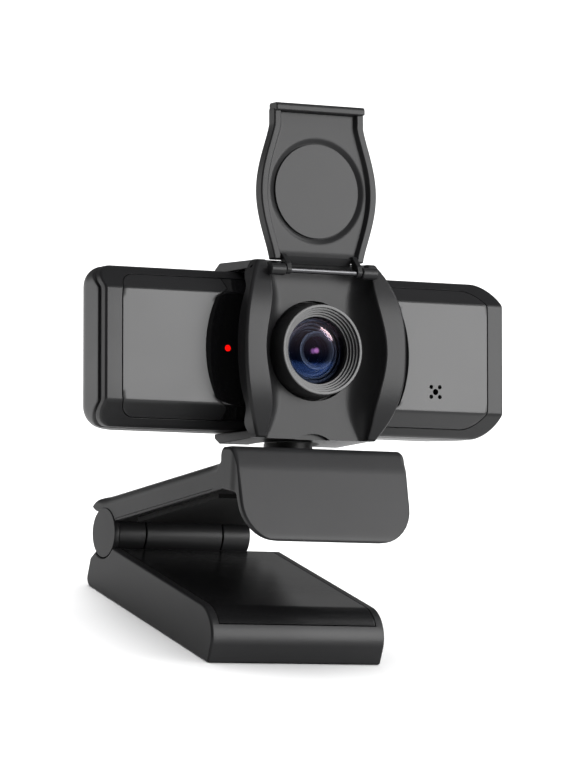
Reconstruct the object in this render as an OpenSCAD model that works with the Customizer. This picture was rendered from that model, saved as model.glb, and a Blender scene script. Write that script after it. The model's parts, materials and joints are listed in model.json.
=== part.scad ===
// Desktop webcam with a flip-lid privacy cover on a folding monitor clip.
// The clip's leg lies flat on Z = 0 and the head faces -Y, tipped up.
// Head pieces are drawn in a level frame: origin at the centre of the head's
// front face, X to the right, Y to the back, Z up.

/* [Head] */
// Width of the head
head_w = 96; // [90:1:104]
// Height of the head
head_h = 33.7; // [32:0.1:36]
// Depth of the head from its flat front to its back
head_d = 18; // [17:0.5:22]
// Height of the flat band along the middle of the front
flat_h = 23.6; // [20:0.1:26]
// How far the sloping bands above and below it run back
slope_back = 6.4; // [5:0.1:7]
// Corner radius of the head seen from the front
head_r = 4.4; // [3:0.1:6]
// Half width of the inlaid front panels
panel_x = 44.1; // [42:0.1:45]
// Half height of the inlaid front panels
panel_z = 15.05; // [14:0.05:15.6]

/* [Lens] */
// Radius of the lens ring at its front edge
ring_r = 9.6; // [9:0.1:10]
// How far the lens ring stands out of the head
ring_out = 6.2; // [5:0.1:7]
// Radius of the visible front glass
glass_r = 7.1; // [6:0.1:7.5]

/* [Privacy cover] */
// Half width of the cover at mid height
cover_x = 19.4; // [18:0.1:21]
// Half width of the cover at its top and bottom edges
cover_end_x = 14.4; // [13:0.1:15]
// How far the cover's two ribs stand in front of the head
rib_out = 8.1; // [7.5:0.1:9]
// Length of the straps behind the head's front
strap_len = 15.3; // [12:0.1:16]
// Length of the lid from its hinge to its tip
lid_len = 35.4; // [34:0.1:37]
// Half width of the lid at its widest
lid_x = 13.9; // [13:0.1:14.1]

/* [Clip] */
// Width of the arm and the lip
clip_w = 41.2; // [38:0.1:44]
// Width of the leg
leg_w = 41.8; // [38:0.1:44]
// Thickness of the leg
leg_t = 11; // [10:0.1:12]
// Length of the leg in front of the hinge axis
leg_len = 55.4; // [50:0.1:60]
// Height of the hinge axis above the table
axis_z = 13; // [12.5:0.1:14]
// Angle between the arm and the leg as drawn
arm_open = 23.3; // [20:0.1:30]
// Angle by which the head looks up as drawn
look_up = 18; // [10:0.5:25]

/* [Hidden] */
$fn = 64;
axis_y = 27.25;
to_axis_y = 54.3;
to_axis_z = -36.4;
flat_z = flat_h / 2;
head_x = head_w / 2;
head_z = head_h / 2;
front_t = 1.75;
recess_t = 1.0;
groove = 0.15;
lip_gap = 0.1;
shell_y = 3.5;
shell_side = 9.4;
wall = 1.6;
led_x = -19.3;
mic_x = 31.1;
mic_z = -7.4;
mic_step = 1.05;
board_y = 11.5;
board_t = 1.2;
board_w = 68.8;
board_screw_x = 31.4;
board_screw_z = 9.5;
case_screw_x = 37;
case_screw_z = 12.2;
tilt_y = 9;
tilt_z = -13.5;
neck_r = 5.2;
lid_y = -6.2;
lid_z = 16.5;
pin_r = 0.65;
fit = 0.05;
lip_top = -20.7;
lip_bottom = -40.6;
lip_lean = 0.22;
lip_t = 1.8;
lip_r = 8;
disc_r = 5.2;
barrel_r = 4.8;
knuckle_x = [-19.4, -12.7, 6.2, 13.1];
hinge_pin_r = 1.5;
arm_low = 1.76;
arm_high = 7.92;
insert_y = 0;
insert_r = 2.55;

function arc(cx, cy, r, a0, a1, n = 8) =
    [for (i = [0:n]) let(a = a0 + (a1 - a0) * i / n) [cx + r * cos(a), cy + r * sin(a)]];
function mirrored(pts) = [for (i = [len(pts) - 1:-1:0]) [pts[i][0], -pts[i][1]]];
// Front-to-back place of the cover's rib face at height z: nearly flat in the
// middle, swept back towards the straps.
function rib_y(z) = -rib_out + 4.0 * pow(abs(z) / 18, 3);
// Half width of the cover at height z, a flat barrel curve.
function barrel_x(z) = cover_end_x + (cover_x - cover_end_x) * (1 - pow(abs(z) / 18.5, 2.4));
// Half width of the cover's recess at height z.
function recess_x(z) = 12.2 + 2.1 * pow(max(0, cos(z * 6.4)), 2);
// Half width of the lid at distance s from its hinge axis.
function lid_half(s) = 10.8 + (lid_x - 10.8) * pow(max(0, sin(180 * (s - 2.5) / 28.5)), 1.3);

module side_extrude(w) {
    rotate([90, 0, 90]) linear_extrude(w, center = true) children();
}
module front_extrude(y0, y1) {
    translate([0, y1, 0]) rotate([90, 0, 0]) linear_extrude(y1 - y0) children();
}
module rounded(w, h, r) {
    square([w - 2 * r, h], center = true);
    square([w, h - 2 * r], center = true);
    for (x = [-1, 1], z = [-1, 1])
        translate([x * (w / 2 - r), z * (h / 2 - r)]) circle(r);
}
module along_y(x, z, r, y0, y1) {
    translate([x, y1, z]) rotate([90, 0, 0]) cylinder(r = r, h = y1 - y0);
}
module along_x(y, z, r, x0, x1) {
    translate([x0, y, z]) rotate([0, 90, 0]) cylinder(r = r, h = x1 - x0);
}
module turned(x, z, y) {
    translate([x, y, z]) rotate([90, 0, 0]) rotate_extrude() children();
}
// The level frame of the head, placed over the clip.
module level() {
    translate([0, axis_y, axis_z]) rotate([-look_up, 0, 0])
        translate([0, -to_axis_y, -to_axis_z]) children();
}
// The arm's own frame: the hinge axis is its origin, the arm runs along -Y.
module on_arm() {
    translate([0, axis_y, axis_z]) rotate([-arm_open, 0, 0]) children();
}
// The leg's frame: the hinge axis is its origin, the leg runs along -Y.
module on_leg() {
    translate([0, axis_y, axis_z]) children();
}

// ---- head casing -------------------------------------------------------
// A plate that follows the head's front: flat band and two sloping bands.
module front_sheet(y0, y1) {
    side_extrude(head_w + 2) polygon([
        [y0, -flat_z], [y0, flat_z], [y0 + slope_back, head_z], [y1 + slope_back, head_z],
        [y1, flat_z], [y1, -flat_z], [y1 + slope_back, -head_z], [y0 + slope_back, -head_z]]);
}
module front_frame() {
    color("#3a3a3c") level() difference() {
        intersection() {
            front_sheet(0, front_t);
            front_extrude(-1, 12) rounded(head_w, head_h, head_r);
        }
        intersection() {
            front_sheet(-0.5, recess_t);
            front_extrude(-2, 12) rounded(2 * panel_x, 2 * panel_z, 3.9);
        }
        along_y(0, 0, 7.8, -1, 3);
        along_y(led_x, 0, 0.75, -1, 3);
        along_y(mic_x, mic_z, 1.9, -1, 3);
        along_y(-mic_x, mic_z, 1.9, -1, 3);
        neck_slot();
    }
}
// Outline of the dark middle piece, with its bowed ends.
module middle_outline(grow) {
    bow = arc(0, 0, 24.45 + grow, -25.5, 25.5, 10);
    top = [[18.9 + grow, 12.7], [18.9 + grow, 15.6]];
    right = concat(mirrored(top), bow, top);
    polygon(concat(right, [for (i = [len(right) - 1:-1:0]) [-right[i][0], right[i][1]]]));
}
module panel_blank() {
    intersection() {
        front_sheet(0, recess_t - 0.02);
        front_extrude(-1, 12) rounded(2 * (panel_x - groove), 2 * (panel_z - groove), 3.8);
    }
}
module middle_panel() {
    color("#0c0c0d") level() difference() {
        intersection() {
            panel_blank();
            front_extrude(-1, 12) middle_outline(-0.05);
        }
        along_y(0, 0, 7.8, -1, 3);
        along_y(led_x, 0, 0.7, -1, 3);
    }
}
module side_panel(side) {
    intersection() {
        difference() {
            panel_blank();
            front_extrude(-2, 13) middle_outline(0.05);
        }
        translate([side * 40, 5, 0]) cube([80, 20, 60], center = true);
    }
}
module left_panel() {
    color("#6e6e70") level() side_panel(-1);
}
module right_panel() {
    color("#6e6e70") level() difference() {
        side_panel(1);
        along_y(mic_x, mic_z, 0.62, -1, 3);
        for (x = [-1, 1], z = [-1, 1])
            along_y(mic_x + x * mic_step, mic_z + z * mic_step, 0.45, -1, 3);
    }
}
// Outer form of the rear case, drawn smaller by inset for its hollow.
module rear_form(inset) {
    x = head_x - inset;
    z = head_z - inset;
    back = head_d - inset;
    intersection() {
        side_extrude(head_w + 2) polygon([
            [shell_y, -flat_z], [shell_y, flat_z], [shell_y + slope_back, z],
            [back - 1.6, z], [back, z - 1.6], [back, 1.6 - z], [back - 1.6, -z],
            [shell_y + slope_back, -z]]);
        front_extrude(0, 30) rounded(2 * x, 2 * z, head_r - inset / 2);
        linear_extrude(60, center = true) polygon([
            [-x, 0], [x, 0], [x, shell_side], [x - 3.2, back - 3.4], [x - 8.5, back],
            [8.5 - x, back], [3.2 - x, back - 3.4], [-x, shell_side]]);
    }
}
module neck_slot() {
    translate([0, tilt_y, -head_z]) cube([9.6, 8.6, 11], center = true);
}
module rear_shell() {
    color("#2e2e30") level() difference() {
        union() {
            rear_form(0);
            intersection() {
                front_sheet(front_t + lip_gap, shell_y + 0.2);
                front_extrude(-1, 14) rounded(head_w - 1, head_h - 1, head_r - 0.5);
            }
        }
        difference() {
            union() {
                rear_form(wall);
                front_extrude(0, shell_y + 3) rounded(head_w - 5, flat_h - 2, 3);
            }
            for (x = [-1, 1], z = [-1, 1]) {
                along_y(x * case_screw_x, z * case_screw_z, 2.1, 4, 20);
                along_y(x * board_screw_x, z * board_screw_z, 1.9, board_y + board_t, 20);
            }
        }
        for (x = [-1, 1], z = [-1, 1]) {
            along_y(x * case_screw_x, z * case_screw_z, 1.15, 5, 20);
            along_y(x * case_screw_x, z * case_screw_z, 2.0, head_d - 3.5, 20);
            along_y(x * board_screw_x, z * board_screw_z, 0.9, board_y + board_t - 0.1, 15.5);
        }
        along_y(0, 5, 2.55, 10, 20);
        neck_slot();
        translate([0, tilt_y, -12.6]) cube([15, 5.8, 6], center = true);
    }
}
module case_screws() {
    color("#8a8a8c") level() for (x = [-1, 1], z = [-1, 1]) {
        difference() {
            union() {
                along_y(x * case_screw_x, z * case_screw_z, 1.05, 6.5, head_d - 3.5);
                along_y(x * case_screw_x, z * case_screw_z, 1.85, head_d - 3.5, head_d - 2.2);
            }
            for (t = [0, 90]) translate([x * case_screw_x, head_d - 2.1, z * case_screw_z])
                rotate([0, t, 0]) cube([2.2, 1.2, 0.4], center = true);
        }
    }
}
module cable_gland() {
    color("#151516") level() difference() {
        union() {
            along_y(0, 5, 2.5, head_d - wall - 1.5, head_d + 0.2);
            along_y(0, 5, 3.3, head_d + 0.2, head_d + 1.0);
            along_y(0, 5, 3.3, head_d - wall - 1.5, head_d - wall - 0.1);
            turned(0, 5, head_d + 1) polygon([[0, 0], [3.0, 0], [2.6, -2.2], [0, -2.2]]);
        }
        along_y(0, 5, 1.7, 10, head_d + 5);
    }
}

// ---- electronics -------------------------------------------------------
module main_board() {
    color("#1f5a34") level() difference() {
        translate([0, board_y + board_t / 2, 0]) cube([board_w, board_t, 25], center = true);
        for (x = [-1, 1]) {
            along_y(x * board_screw_x, board_screw_z, 1.1, 10, 15);
            along_y(x * board_screw_x, -board_screw_z, 1.1, 10, 15);
        }
        translate([0, 12, -13]) cube([18, 5, 7], center = true);
    }
}
module board_screws() {
    color("#b0b0b2") level() for (x = [-1, 1], z = [-1, 1]) {
        along_y(x * board_screw_x, z * board_screw_z, 0.85, board_y, 15);
        along_y(x * board_screw_x, z * board_screw_z, 1.6, board_y - 0.8, board_y);
    }
}
module image_sensor() {
    color("#26282e") level() translate([0, board_y - 0.55, 0]) cube([7.4, 1.1, 6.4], center = true);
}
module video_chip() {
    color("#17181a") level() translate([17, board_y - 0.5, 3]) cube([8, 1, 8], center = true);
}
module cable_header() {
    color("#d9d6cc") level() translate([0, board_y + board_t + 1.1, 9.5])
        cube([9, 2.2, 4], center = true);
}
module lens_mount() {
    color("#141415") level() difference() {
        union() {
            translate([0, board_y - 3.5, 0]) cube([13, 7, 13], center = true);
            along_y(0, 0, 6.4, 2.2, board_y - 6);
        }
        along_y(0, 0, 5.4, 0, board_y - 1.3);
        translate([0, board_y - 0.9, 0]) cube([8.4, 2, 7.4], center = true);
    }
}
module lens_barrel() {
    color("#101011") level() turned(0, 0, 0) polygon([
        [3.4, -7.6], [5.35, -7.6], [5.35, -0.2], [6.9, 0.1], [6.9, 2.2], [5.6, 2.2],
        [4.2, 1.2], [3.4, -0.2]]);
}
module rear_lens() {
    color("#2a3050") level() turned(0, 0, 0)
        polygon(concat([[0, -5.4], [3.35, -5.4], [3.35, -2.6]], arc(0, -6.1, 4.85, 46, 90, 8)));
}
module front_lens() {
    color("#39405a") level() turned(0, 0, 0)
        polygon(concat([[0, 2.4], [6.85, 2.4]], arc(0, -6.08, 11.15, 51.5, 90, 10)));
}
module lens_ring() {
    color("#5e5e60") level() turned(0, 0, 0) polygon(concat(
        [[7.05, 0.05], [10.3, 0.05], [10.3, 0.9], [ring_r + 0.35, 1.3], [ring_r, ring_out - 0.3],
         [ring_r - 0.3, ring_out], [glass_r + 1.75, ring_out]],
        [for (i = [3:-1:0]) each [[glass_r + 0.42 * (i + 1), 3.75 + 0.55 * i],
                                  [glass_r + 0.42 * i, 3.75 + 0.55 * i]]],
        [[7.05, 3.7]]));
}
module microphones() {
    color("#9a9a9c") level() for (x = [-1, 1])
        along_y(x * mic_x, mic_z, 2.9, 3.2, 5.4);
}
module mic_gaskets() {
    color("#202021") level() for (x = [-1, 1]) difference() {
        along_y(x * mic_x, mic_z, 2.9, front_t + 0.02, 3.18);
        along_y(x * mic_x, mic_z, 1.3, 1, 4);
    }
}
module mic_board() {
    color("#1f5a34") level() for (x = [-1, 1])
        translate([x * mic_x, 6.0, mic_z + 1]) cube([9, 1.1, 8.6], center = true);
}
module status_led() {
    color("#e8d8d0") level() translate([led_x, board_y - 0.5, 0]) cube([1.6, 1, 0.8], center = true);
}
module light_pipe() {
    color("red") level() union() {
        along_y(led_x, 0, 0.65, 0.05, 2.4);
        along_y(led_x, 0, 1.3, 2.4, board_y - 1.1);
    }
}

// ---- privacy cover -----------------------------------------------------
heights = [for (z = [-18.5:1.85:18.6]) z];
module cover_outline() {
    polygon(concat([for (z = heights) [barrel_x(z), z]],
                   [for (i = [len(heights) - 1:-1:0]) [-barrel_x(heights[i]), heights[i]]]));
}
module cover_recess_outline() {
    polygon(concat([for (z = heights) [recess_x(z), z * 1.1]],
                   [for (i = [len(heights) - 1:-1:0]) [-recess_x(heights[i]), heights[i] * 1.1]]));
}
// Side view of the cover: bowed rib faces with a strap at each end.
module cover_side() {
    ribs = [for (z = heights) [rib_y(z), z]];
    top = [[-3.0, 18.8], [strap_len - 2.1, 19.2], [strap_len, 17.6], [strap_len, 17.2],
           [0.1, 17.0], [-0.6, 16.4], [-3.2, 15.2], [-4.3, 13.6]];
    polygon(concat(ribs, top, mirrored(top)));
}
module cover_frame() {
    color("#4c4c4e") level() difference() {
        union() {
            intersection() {
                side_extrude(60) cover_side();
                union() {
                    front_extrude(-10, 0.5) cover_outline();
                    translate([0, 8, 0]) cube([2 * cover_end_x, 20, 50], center = true);
                }
            }
            intersection() {
                translate([0, -2.2, 0]) cube([29, 4.2, 36], center = true);
                front_extrude(-10, -0.35) cover_outline();
            }
            for (s = [-1, 1]) along_x(lid_y, lid_z, 1.25, s * 10.9 - 1.7, s * 10.9 + 1.7);
        }
        difference() {
            front_extrude(-12, -6.0) cover_recess_outline();
            for (s = [-1, 1]) along_x(lid_y, lid_z, 1.25, s * 10.9 - 1.7, s * 10.9 + 1.7);
        }
        linear_extrude(60, center = true) polygon(concat(
            [[-12.1, -6.05]], arc(-6.5, -7.8, 5.8, 163, 270, 8),
            arc(6.5, -7.8, 5.8, -90, 17, 8), [[12.1, -6.05]]));
        along_y(0, 0, 10.6, -9, 1);
        along_y(0, -19.4, 5.6, -12, -2.0);
        along_x(lid_y, lid_z, pin_r + 0.01, -12.0, 12.0);
        along_x(lid_y, lid_z, 2.1, -9.2, 9.2);
        translate([0, -5.2, 20.4]) cube([18.4, 5, 6], center = true);
        translate([0, 10.5, -18]) cylinder(r = 7.5, h = 6, center = true);
        translate([0, 15.5, -18]) cube([15, 10, 6], center = true);
    }
}
module lid_pin() {
    color("#9b9b9d") level() along_x(lid_y, lid_z, pin_r, -11.9, 11.9);
}
lid_steps = [for (s = [2.5:1.9:31.1]) s];
module lid_outline(inset) {
    tail = [[10.8 - inset, 31.6], [10.8 - inset, lid_len - 0.8 - inset], [10.0 - inset, lid_len - inset]];
    right = concat([for (s = lid_steps) [lid_half(s) - inset, s]], tail);
    polygon(concat(right, [for (i = [len(right) - 1:-1:0]) [-right[i][0], right[i][1]]]));
}
module lid() {
    color("#4c4c4e") level() translate([0, 0, lid_z]) difference() {
        union() {
            difference() {
                front_extrude(-4.7, -2.0) lid_outline(0);
                front_extrude(-6, -3.9) intersection() {
                    lid_outline(1.5);
                    translate([0, 16.5]) square([40, 34], center = true);
                }
                along_y(0, 17.15, 11.2, -6, -3.3);
            }
            translate([0, -4.5, lid_len - 0.9]) cube([21, 2.6, 1.8], center = true);
            for (s = [-1, 1]) difference() {
                union() {
                    along_x(lid_y, 0, 1.25, s * 8.5 - 0.55, s * 8.5 + 0.55);
                    translate([s * 8.5, 0, 0]) side_extrude(1.1) polygon([
                        [lid_y - 1.25, 0], [lid_y - 0.6, 1.3], [-4.7, 3.2], [-2.0, 3.2],
                        [-2.0, 2.5], [-4.3, 2.3], [lid_y + 1.2, 0.3]]);
                }
                along_x(lid_y, 0, pin_r + fit, -12, 12);
            }
        }
    }
}
module lid_disc() {
    color("#565658") level() translate([0, 0, lid_z]) along_y(0, 17.15, 10, -3.55, -3.3);
}

// ---- neck --------------------------------------------------------------
module neck() {
    color("#1b1b1c") level() difference() {
        union() {
            translate([0, tilt_y, -23.3]) cylinder(r = neck_r, h = 4.3);
            translate([0, tilt_y, -16.5]) cube([8.6, 5.2, 5.6], center = true);
            along_x(tilt_y, tilt_z, 3.2, -4.3, 4.3);
        }
        along_x(tilt_y, tilt_z, 1.25 + fit, -6, 6);
        translate([0, tilt_y, -24]) cylinder(r = 1.23, h = 6.4);
    }
}
module tilt_pin() {
    color("#a9a9ab") level() along_x(tilt_y, tilt_z, 1.25, -7.4, 7.4);
}
module tilt_saddles() {
    color("#232324") level() for (s = [-1, 1]) difference() {
        translate([s * 6.1, tilt_y, -12.75]) cube([2.6, 5.6, 4.9], center = true);
        along_x(tilt_y, tilt_z, 1.27, -12, 12);
    }
}
module tilt_washers() {
    color("#c9b37a") level() for (s = [-1, 1]) difference() {
        along_x(tilt_y, tilt_z, 2.7, s * 4.55 - 0.2, s * 4.55 + 0.2);
        along_x(tilt_y, tilt_z, 1.25 + fit, -12, 12);
    }
}
module swivel_screw() {
    color("#a9a9ab") level() union() {
        translate([0, tilt_y, -27.4]) cylinder(r = 1.22, h = 9.6);
        translate([0, tilt_y, -28.6]) cylinder(r = 2.6, h = 1.2);
    }
}
module swivel_washer() {
    color("#c9b37a") level() difference() {
        translate([0, tilt_y, -23.55]) cylinder(r = 4.4, h = 0.2);
        translate([0, tilt_y, -24]) cylinder(r = 1.3, h = 1);
    }
}

// ---- arm and lip -------------------------------------------------------
module arm_bar() {
    side_extrude(clip_w) polygon(concat(
        [[-56, arm_low], [-2.6, arm_low], [2.2, 4.8]],
        arc(3.4, 6.2, 1.72, -20, 70, 6), [[0, arm_high], [-56, arm_high]]));
}
module lip_side() {
    polygon(concat(
        [[0.7, -23.6], [0.7, lip_top - 0.6], [0.1, lip_top]],
        arc(-2.7, lip_top - 2.4, 2.4, 90, 175, 6),
        [[-5.36 + lip_lean * (lip_bottom + 22), lip_bottom],
         [-5.36 + lip_t + lip_lean * (lip_bottom + 22), lip_bottom],
         [-5.36 + lip_t + lip_lean * -9, -31], [-2.6, -29.4], [0.7, -29.0]]));
}
module lip_front() {
    x = clip_w / 2;
    polygon(concat(
        [[-x + 0.8, lip_top + 1], [-x, lip_top - 1]], arc(lip_r - x, lip_bottom + lip_r, lip_r, 180, 270),
        arc(x - lip_r, lip_bottom + lip_r, lip_r, 270, 360), [[x, lip_top - 1.6], [x - 1.6, lip_top + 1]]));
}
module arm() {
    color("#38383a") difference() {
        union() {
            intersection() {
                on_arm() arm_bar();
                level() translate([0, 40, 0]) cube([60, 88.5, 120], center = true);
            }
            level() intersection() {
                side_extrude(clip_w) lip_side();
                front_extrude(-14, 10) lip_front();
            }
            level() translate([0, tilt_y, -26.5]) cylinder(r = 6.6, h = 2.9);
            on_leg() along_x(0, 0, barrel_r, knuckle_x[1] + 0.15, knuckle_x[2] - 0.15);
        }
        on_leg() for (s = [[-22, knuckle_x[1] + 0.15], [knuckle_x[2] - 0.15, 22]])
            along_x(0, 0, disc_r + 0.3, s[0], s[1]);
        on_leg() along_x(0, 0, hinge_pin_r + fit, -22, 22);
        level() translate([0, tilt_y, -30]) cylinder(r = 1.3, h = 8);
        level() translate([0, tilt_y, -32]) cylinder(r = 2.8, h = 4.65);
        on_arm() translate([0, -29.6, 0.9]) cube([36.4, 37.6, 2 * (arm_low - 0.5)], center = true);
    }
}
module arm_pad() {
    color("#1a1a1b") on_arm()
        translate([0, -29.6, arm_low - 0.25]) cube([36, 37.2, 1.28], center = true);
}
module lip_pad() {
    color("#1a1a1b") level() intersection() {
        side_extrude(34) polygon([
            [-5.36 + lip_t + 0.02 + lip_lean * -10, -32], [-5.36 + lip_t + 0.8 + lip_lean * -10, -32],
            [-5.36 + lip_t + 0.8 + lip_lean * -17, -39], [-5.36 + lip_t + 0.02 + lip_lean * -17, -39]]);
        front_extrude(-14, 0) translate([0, -34.5]) rounded(32, 9, 3);
    }
}

// ---- hinge and leg -----------------------------------------------------
module hinge_pin() {
    color("#a9a9ab") on_leg() along_x(0, 0, hinge_pin_r, knuckle_x[0] + 0.5, knuckle_x[3] - 0.6);
}
module hinge_cap() {
    color("#38383a") on_leg() difference() {
        along_x(0, 0, disc_r, -clip_w / 2 - 0.2, knuckle_x[0] - 0.02);
        along_x(0, 0, 1.6, -22, -clip_w / 2 + 0.2);
    }
}
module hinge_washers() {
    color("#c9b37a") on_leg() for (x = [knuckle_x[1], knuckle_x[2]]) difference() {
        along_x(0, 0, 3.6, x - 0.12, x + 0.12);
        along_x(0, 0, hinge_pin_r + fit, x - 1, x + 1);
    }
}
module leg_side() {
    low = -axis_z;
    top = leg_t - axis_z;
    polygon(concat(
        [[-leg_len + 0.4, low], [3.0, low]], arc(3.0, low + 1.9, 1.9, -90, 0, 5),
        [[4.5, -6.9], [2.1, -4.7], [1.2, top], [-leg_len + 7, top]],
        arc(-leg_len + 7, top - 7, 7, 90, 180, 8)));
}
module leg_shell() {
    low = -axis_z;
    color("#38383a") on_leg() difference() {
        union() {
            difference() {
                side_extrude(leg_w) leg_side();
                translate([0, -29.5, low + leg_t / 2 + 2]) cube([leg_w - 3.8, 48, leg_t], center = true);
                translate([0, -50.5, low + 14.4]) cube([leg_w - 3.8, 12, 12], center = true);
                for (s = [-24, 24]) along_x(0, 0, disc_r + 0.3, s - 24, s + 24);
            }
            for (s = [0, 2]) {
                along_x(0, 0, barrel_r, knuckle_x[s] + 0.12, knuckle_x[s + 1] - 0.12);
                translate([(knuckle_x[s] + knuckle_x[s + 1]) / 2, 0.2, -6])
                    cube([knuckle_x[s + 1] - knuckle_x[s] - 0.24, 6.6, 4.4], center = true);
            }
            translate([0, insert_y - axis_y, low + 1.5]) cylinder(r = 5.2, h = 5.1);
            for (x = [-1, 1], y = [-45, -11]) translate([x * 14, y, low + 1.5]) cylinder(r = 2.2, h = 6.9);
        }
        along_x(0, 0, hinge_pin_r + 0.01, knuckle_x[0] + 0.4, knuckle_x[3] - 0.5);
        translate([0, insert_y - axis_y, low - 1]) cylinder(r = 4.0, h = 7.1);
        for (x = [-1, 1], y = [-45, -11]) translate([x * 14, y, low - 1]) {
            cylinder(r = 1.15, h = 9);
            cylinder(r = 2.1, h = 2.6);
        }
        translate([0, insert_y - axis_y, low]) difference() {
            linear_extrude(1.6, center = true) rounded(34, 22, 3);
            cylinder(r = 6, h = 4, center = true);
        }
    }
}
module leg_cover() {
    top = leg_t - axis_z;
    color("#1c1c1d") on_leg() intersection() {
        side_extrude(leg_w - 4.1) difference() {
            leg_side();
            polygon([[0, -20], [0, top - 1.6], [-leg_len + 7.5, top - 1.6],
                     [-leg_len + 1.9, top - 7.4], [-leg_len + 1.9, -20]]);
        }
        translate([0, -30.6, top - 1.1]) cube([leg_w, 49.8, 3.0], center = true);
    }
}
module leg_screws() {
    color("#8a8a8c") on_leg() for (x = [-1, 1], y = [-45, -11])
        translate([x * 14, y, -axis_z]) difference() {
            union() {
                translate([0, 0, 1.4]) cylinder(r = 1.1, h = 6.4);
                translate([0, 0, 0.4]) cylinder(r = 2.0, h = 1.0);
            }
            for (t = [0, 90]) rotate([0, 0, t]) translate([0, 0, 0.4]) cube([2.4, 0.45, 1], center = true);
        }
}
module foot_pad() {
    color("#18181a") on_leg() translate([0, insert_y - axis_y, -axis_z]) difference() {
        linear_extrude(0.75) rounded(33.6, 21.6, 2.8);
        translate([0, 0, -1]) cylinder(r = 6.1, h = 4);
        for (x = [-1, 1], y = [-17.75, 16.25]) translate([x * 14, y, -1]) cylinder(r = 2.3, h = 4);
    }
}
module tripod_insert() {
    color("#c9a24a") on_leg() translate([0, insert_y - axis_y, -axis_z]) difference() {
        cylinder(r = 3.98, h = 6.0);
        translate([0, 0, -1]) cylinder(r = insert_r, h = 8);
    }
}

front_frame();
middle_panel();
left_panel();
right_panel();
rear_shell();
case_screws();
cable_gland();
main_board();
board_screws();
image_sensor();
video_chip();
cable_header();
lens_mount();
lens_barrel();
rear_lens();
front_lens();
lens_ring();
microphones();
mic_gaskets();
mic_board();
status_led();
light_pipe();
cover_frame();
lid_pin();
lid();
lid_disc();
neck();
tilt_pin();
tilt_saddles();
tilt_washers();
swivel_screw();
swivel_washer();
arm();
arm_pad();
lip_pad();
hinge_pin();
hinge_cap();
hinge_washers();
leg_shell();
leg_cover();
leg_screws();
foot_pad();
tripod_insert();
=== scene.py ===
"""Looks of a desktop webcam with a flip-lid privacy cover on a folding monitor clip.

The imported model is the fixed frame. Each outer piece is a surface worked out with numpy
around the joints and boxes of that frame, and rides on its body; the inner pieces are the
frame's own nodes with a finish. Sizes in the functions are in millimetres, and meshes are
in metres.
"""
import json

import bmesh
import bpy
import numpy as np
from mathutils import Matrix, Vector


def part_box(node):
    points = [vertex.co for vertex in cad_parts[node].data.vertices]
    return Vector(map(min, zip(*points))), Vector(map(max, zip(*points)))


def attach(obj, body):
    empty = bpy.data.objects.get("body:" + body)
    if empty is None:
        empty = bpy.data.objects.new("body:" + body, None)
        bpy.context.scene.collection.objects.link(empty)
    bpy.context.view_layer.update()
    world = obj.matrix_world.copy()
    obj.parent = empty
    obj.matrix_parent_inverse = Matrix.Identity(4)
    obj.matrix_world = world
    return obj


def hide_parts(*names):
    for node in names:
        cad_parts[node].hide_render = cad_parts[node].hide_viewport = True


bl_info = {
    "name": "Clip webcam",
    "version": (1, 0, 0),
    "blender": (4, 5, 0),
    "location": "View3D > Sidebar > Webcam",
    "description": "Builds the casing, lens, privacy cover and clip of a webcam on its frame",
    "category": "Object",
}

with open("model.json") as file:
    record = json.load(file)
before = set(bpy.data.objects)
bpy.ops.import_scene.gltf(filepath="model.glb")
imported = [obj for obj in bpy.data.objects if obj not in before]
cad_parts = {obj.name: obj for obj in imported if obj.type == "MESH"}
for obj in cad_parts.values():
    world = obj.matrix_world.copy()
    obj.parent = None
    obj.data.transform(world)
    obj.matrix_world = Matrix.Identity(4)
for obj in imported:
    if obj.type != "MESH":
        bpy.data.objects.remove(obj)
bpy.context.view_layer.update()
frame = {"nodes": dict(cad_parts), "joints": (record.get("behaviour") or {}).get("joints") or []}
MM = 0.001
JOINTS = {joint["name"]: joint for joint in frame["joints"]}


def joint_point(name):
    """Place of a joint of the frame, in millimetres."""
    return np.array(JOINTS[name]["pos_m"], float) / MM


# ---- the two frames that the pieces are drawn in -----------------------------
# Head pieces: origin at the centre of the head's front face, X right, Y to the
# back, Z up along the neck. Clip pieces: origin on the clip's hinge axis.
TILT_BACK = 9.0  # tilt axis and neck behind the head's origin
TILT_UP = -13.5  # tilt axis above the head's origin
HINGE = joint_point("clip_hinge")
RIGHT = np.array([1.0, 0.0, 0.0])
UP = np.array(JOINTS["head_swivel"]["axis"], float)
UP = UP / np.linalg.norm(UP)
BACK = np.cross(UP, RIGHT)
HEAD_ORIGIN = joint_point("head_tilt") - TILT_BACK * BACK - TILT_UP * UP
LID_AXIS = joint_point("lid_hinge") - HEAD_ORIGIN
LID_Y = float(LID_AXIS @ BACK)
LID_Z = float(LID_AXIS @ UP)


def on_head(points):
    """Head-frame millimetres to metres in the row frame."""
    return (HEAD_ORIGIN + points @ np.array([RIGHT, BACK, UP])) * MM


def on_clip(points):
    """Millimetres from the clip's hinge axis to metres in the row frame."""
    return (HINGE + points) * MM


def head_to_clip(outline):
    """Side-view points (y, z) of the head frame, seen from the hinge axis."""
    outline = np.asarray(outline, float)
    points = HEAD_ORIGIN + outline[:, :1] * BACK + outline[:, 1:] * UP - HINGE
    return points[:, 1:]


# ---- properties ---------------------------------------------------------------
def length(name, text, millimetres):
    """A length property with its default in millimetres."""
    return bpy.props.FloatProperty(name=name, description=text, default=millimetres * MM,
                                   min=0.0, unit="LENGTH", precision=5)


def colour(name, text, value):
    """A colour property from linear red, green and blue."""
    return bpy.props.FloatVectorProperty(name=name, description=text, default=value,
                                         subtype="COLOR", size=3, min=0.0, max=1.0)


def width_of(node):
    """Width of a frame node along X, in millimetres."""
    low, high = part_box(node)
    return (high.x - low.x) / MM


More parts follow.
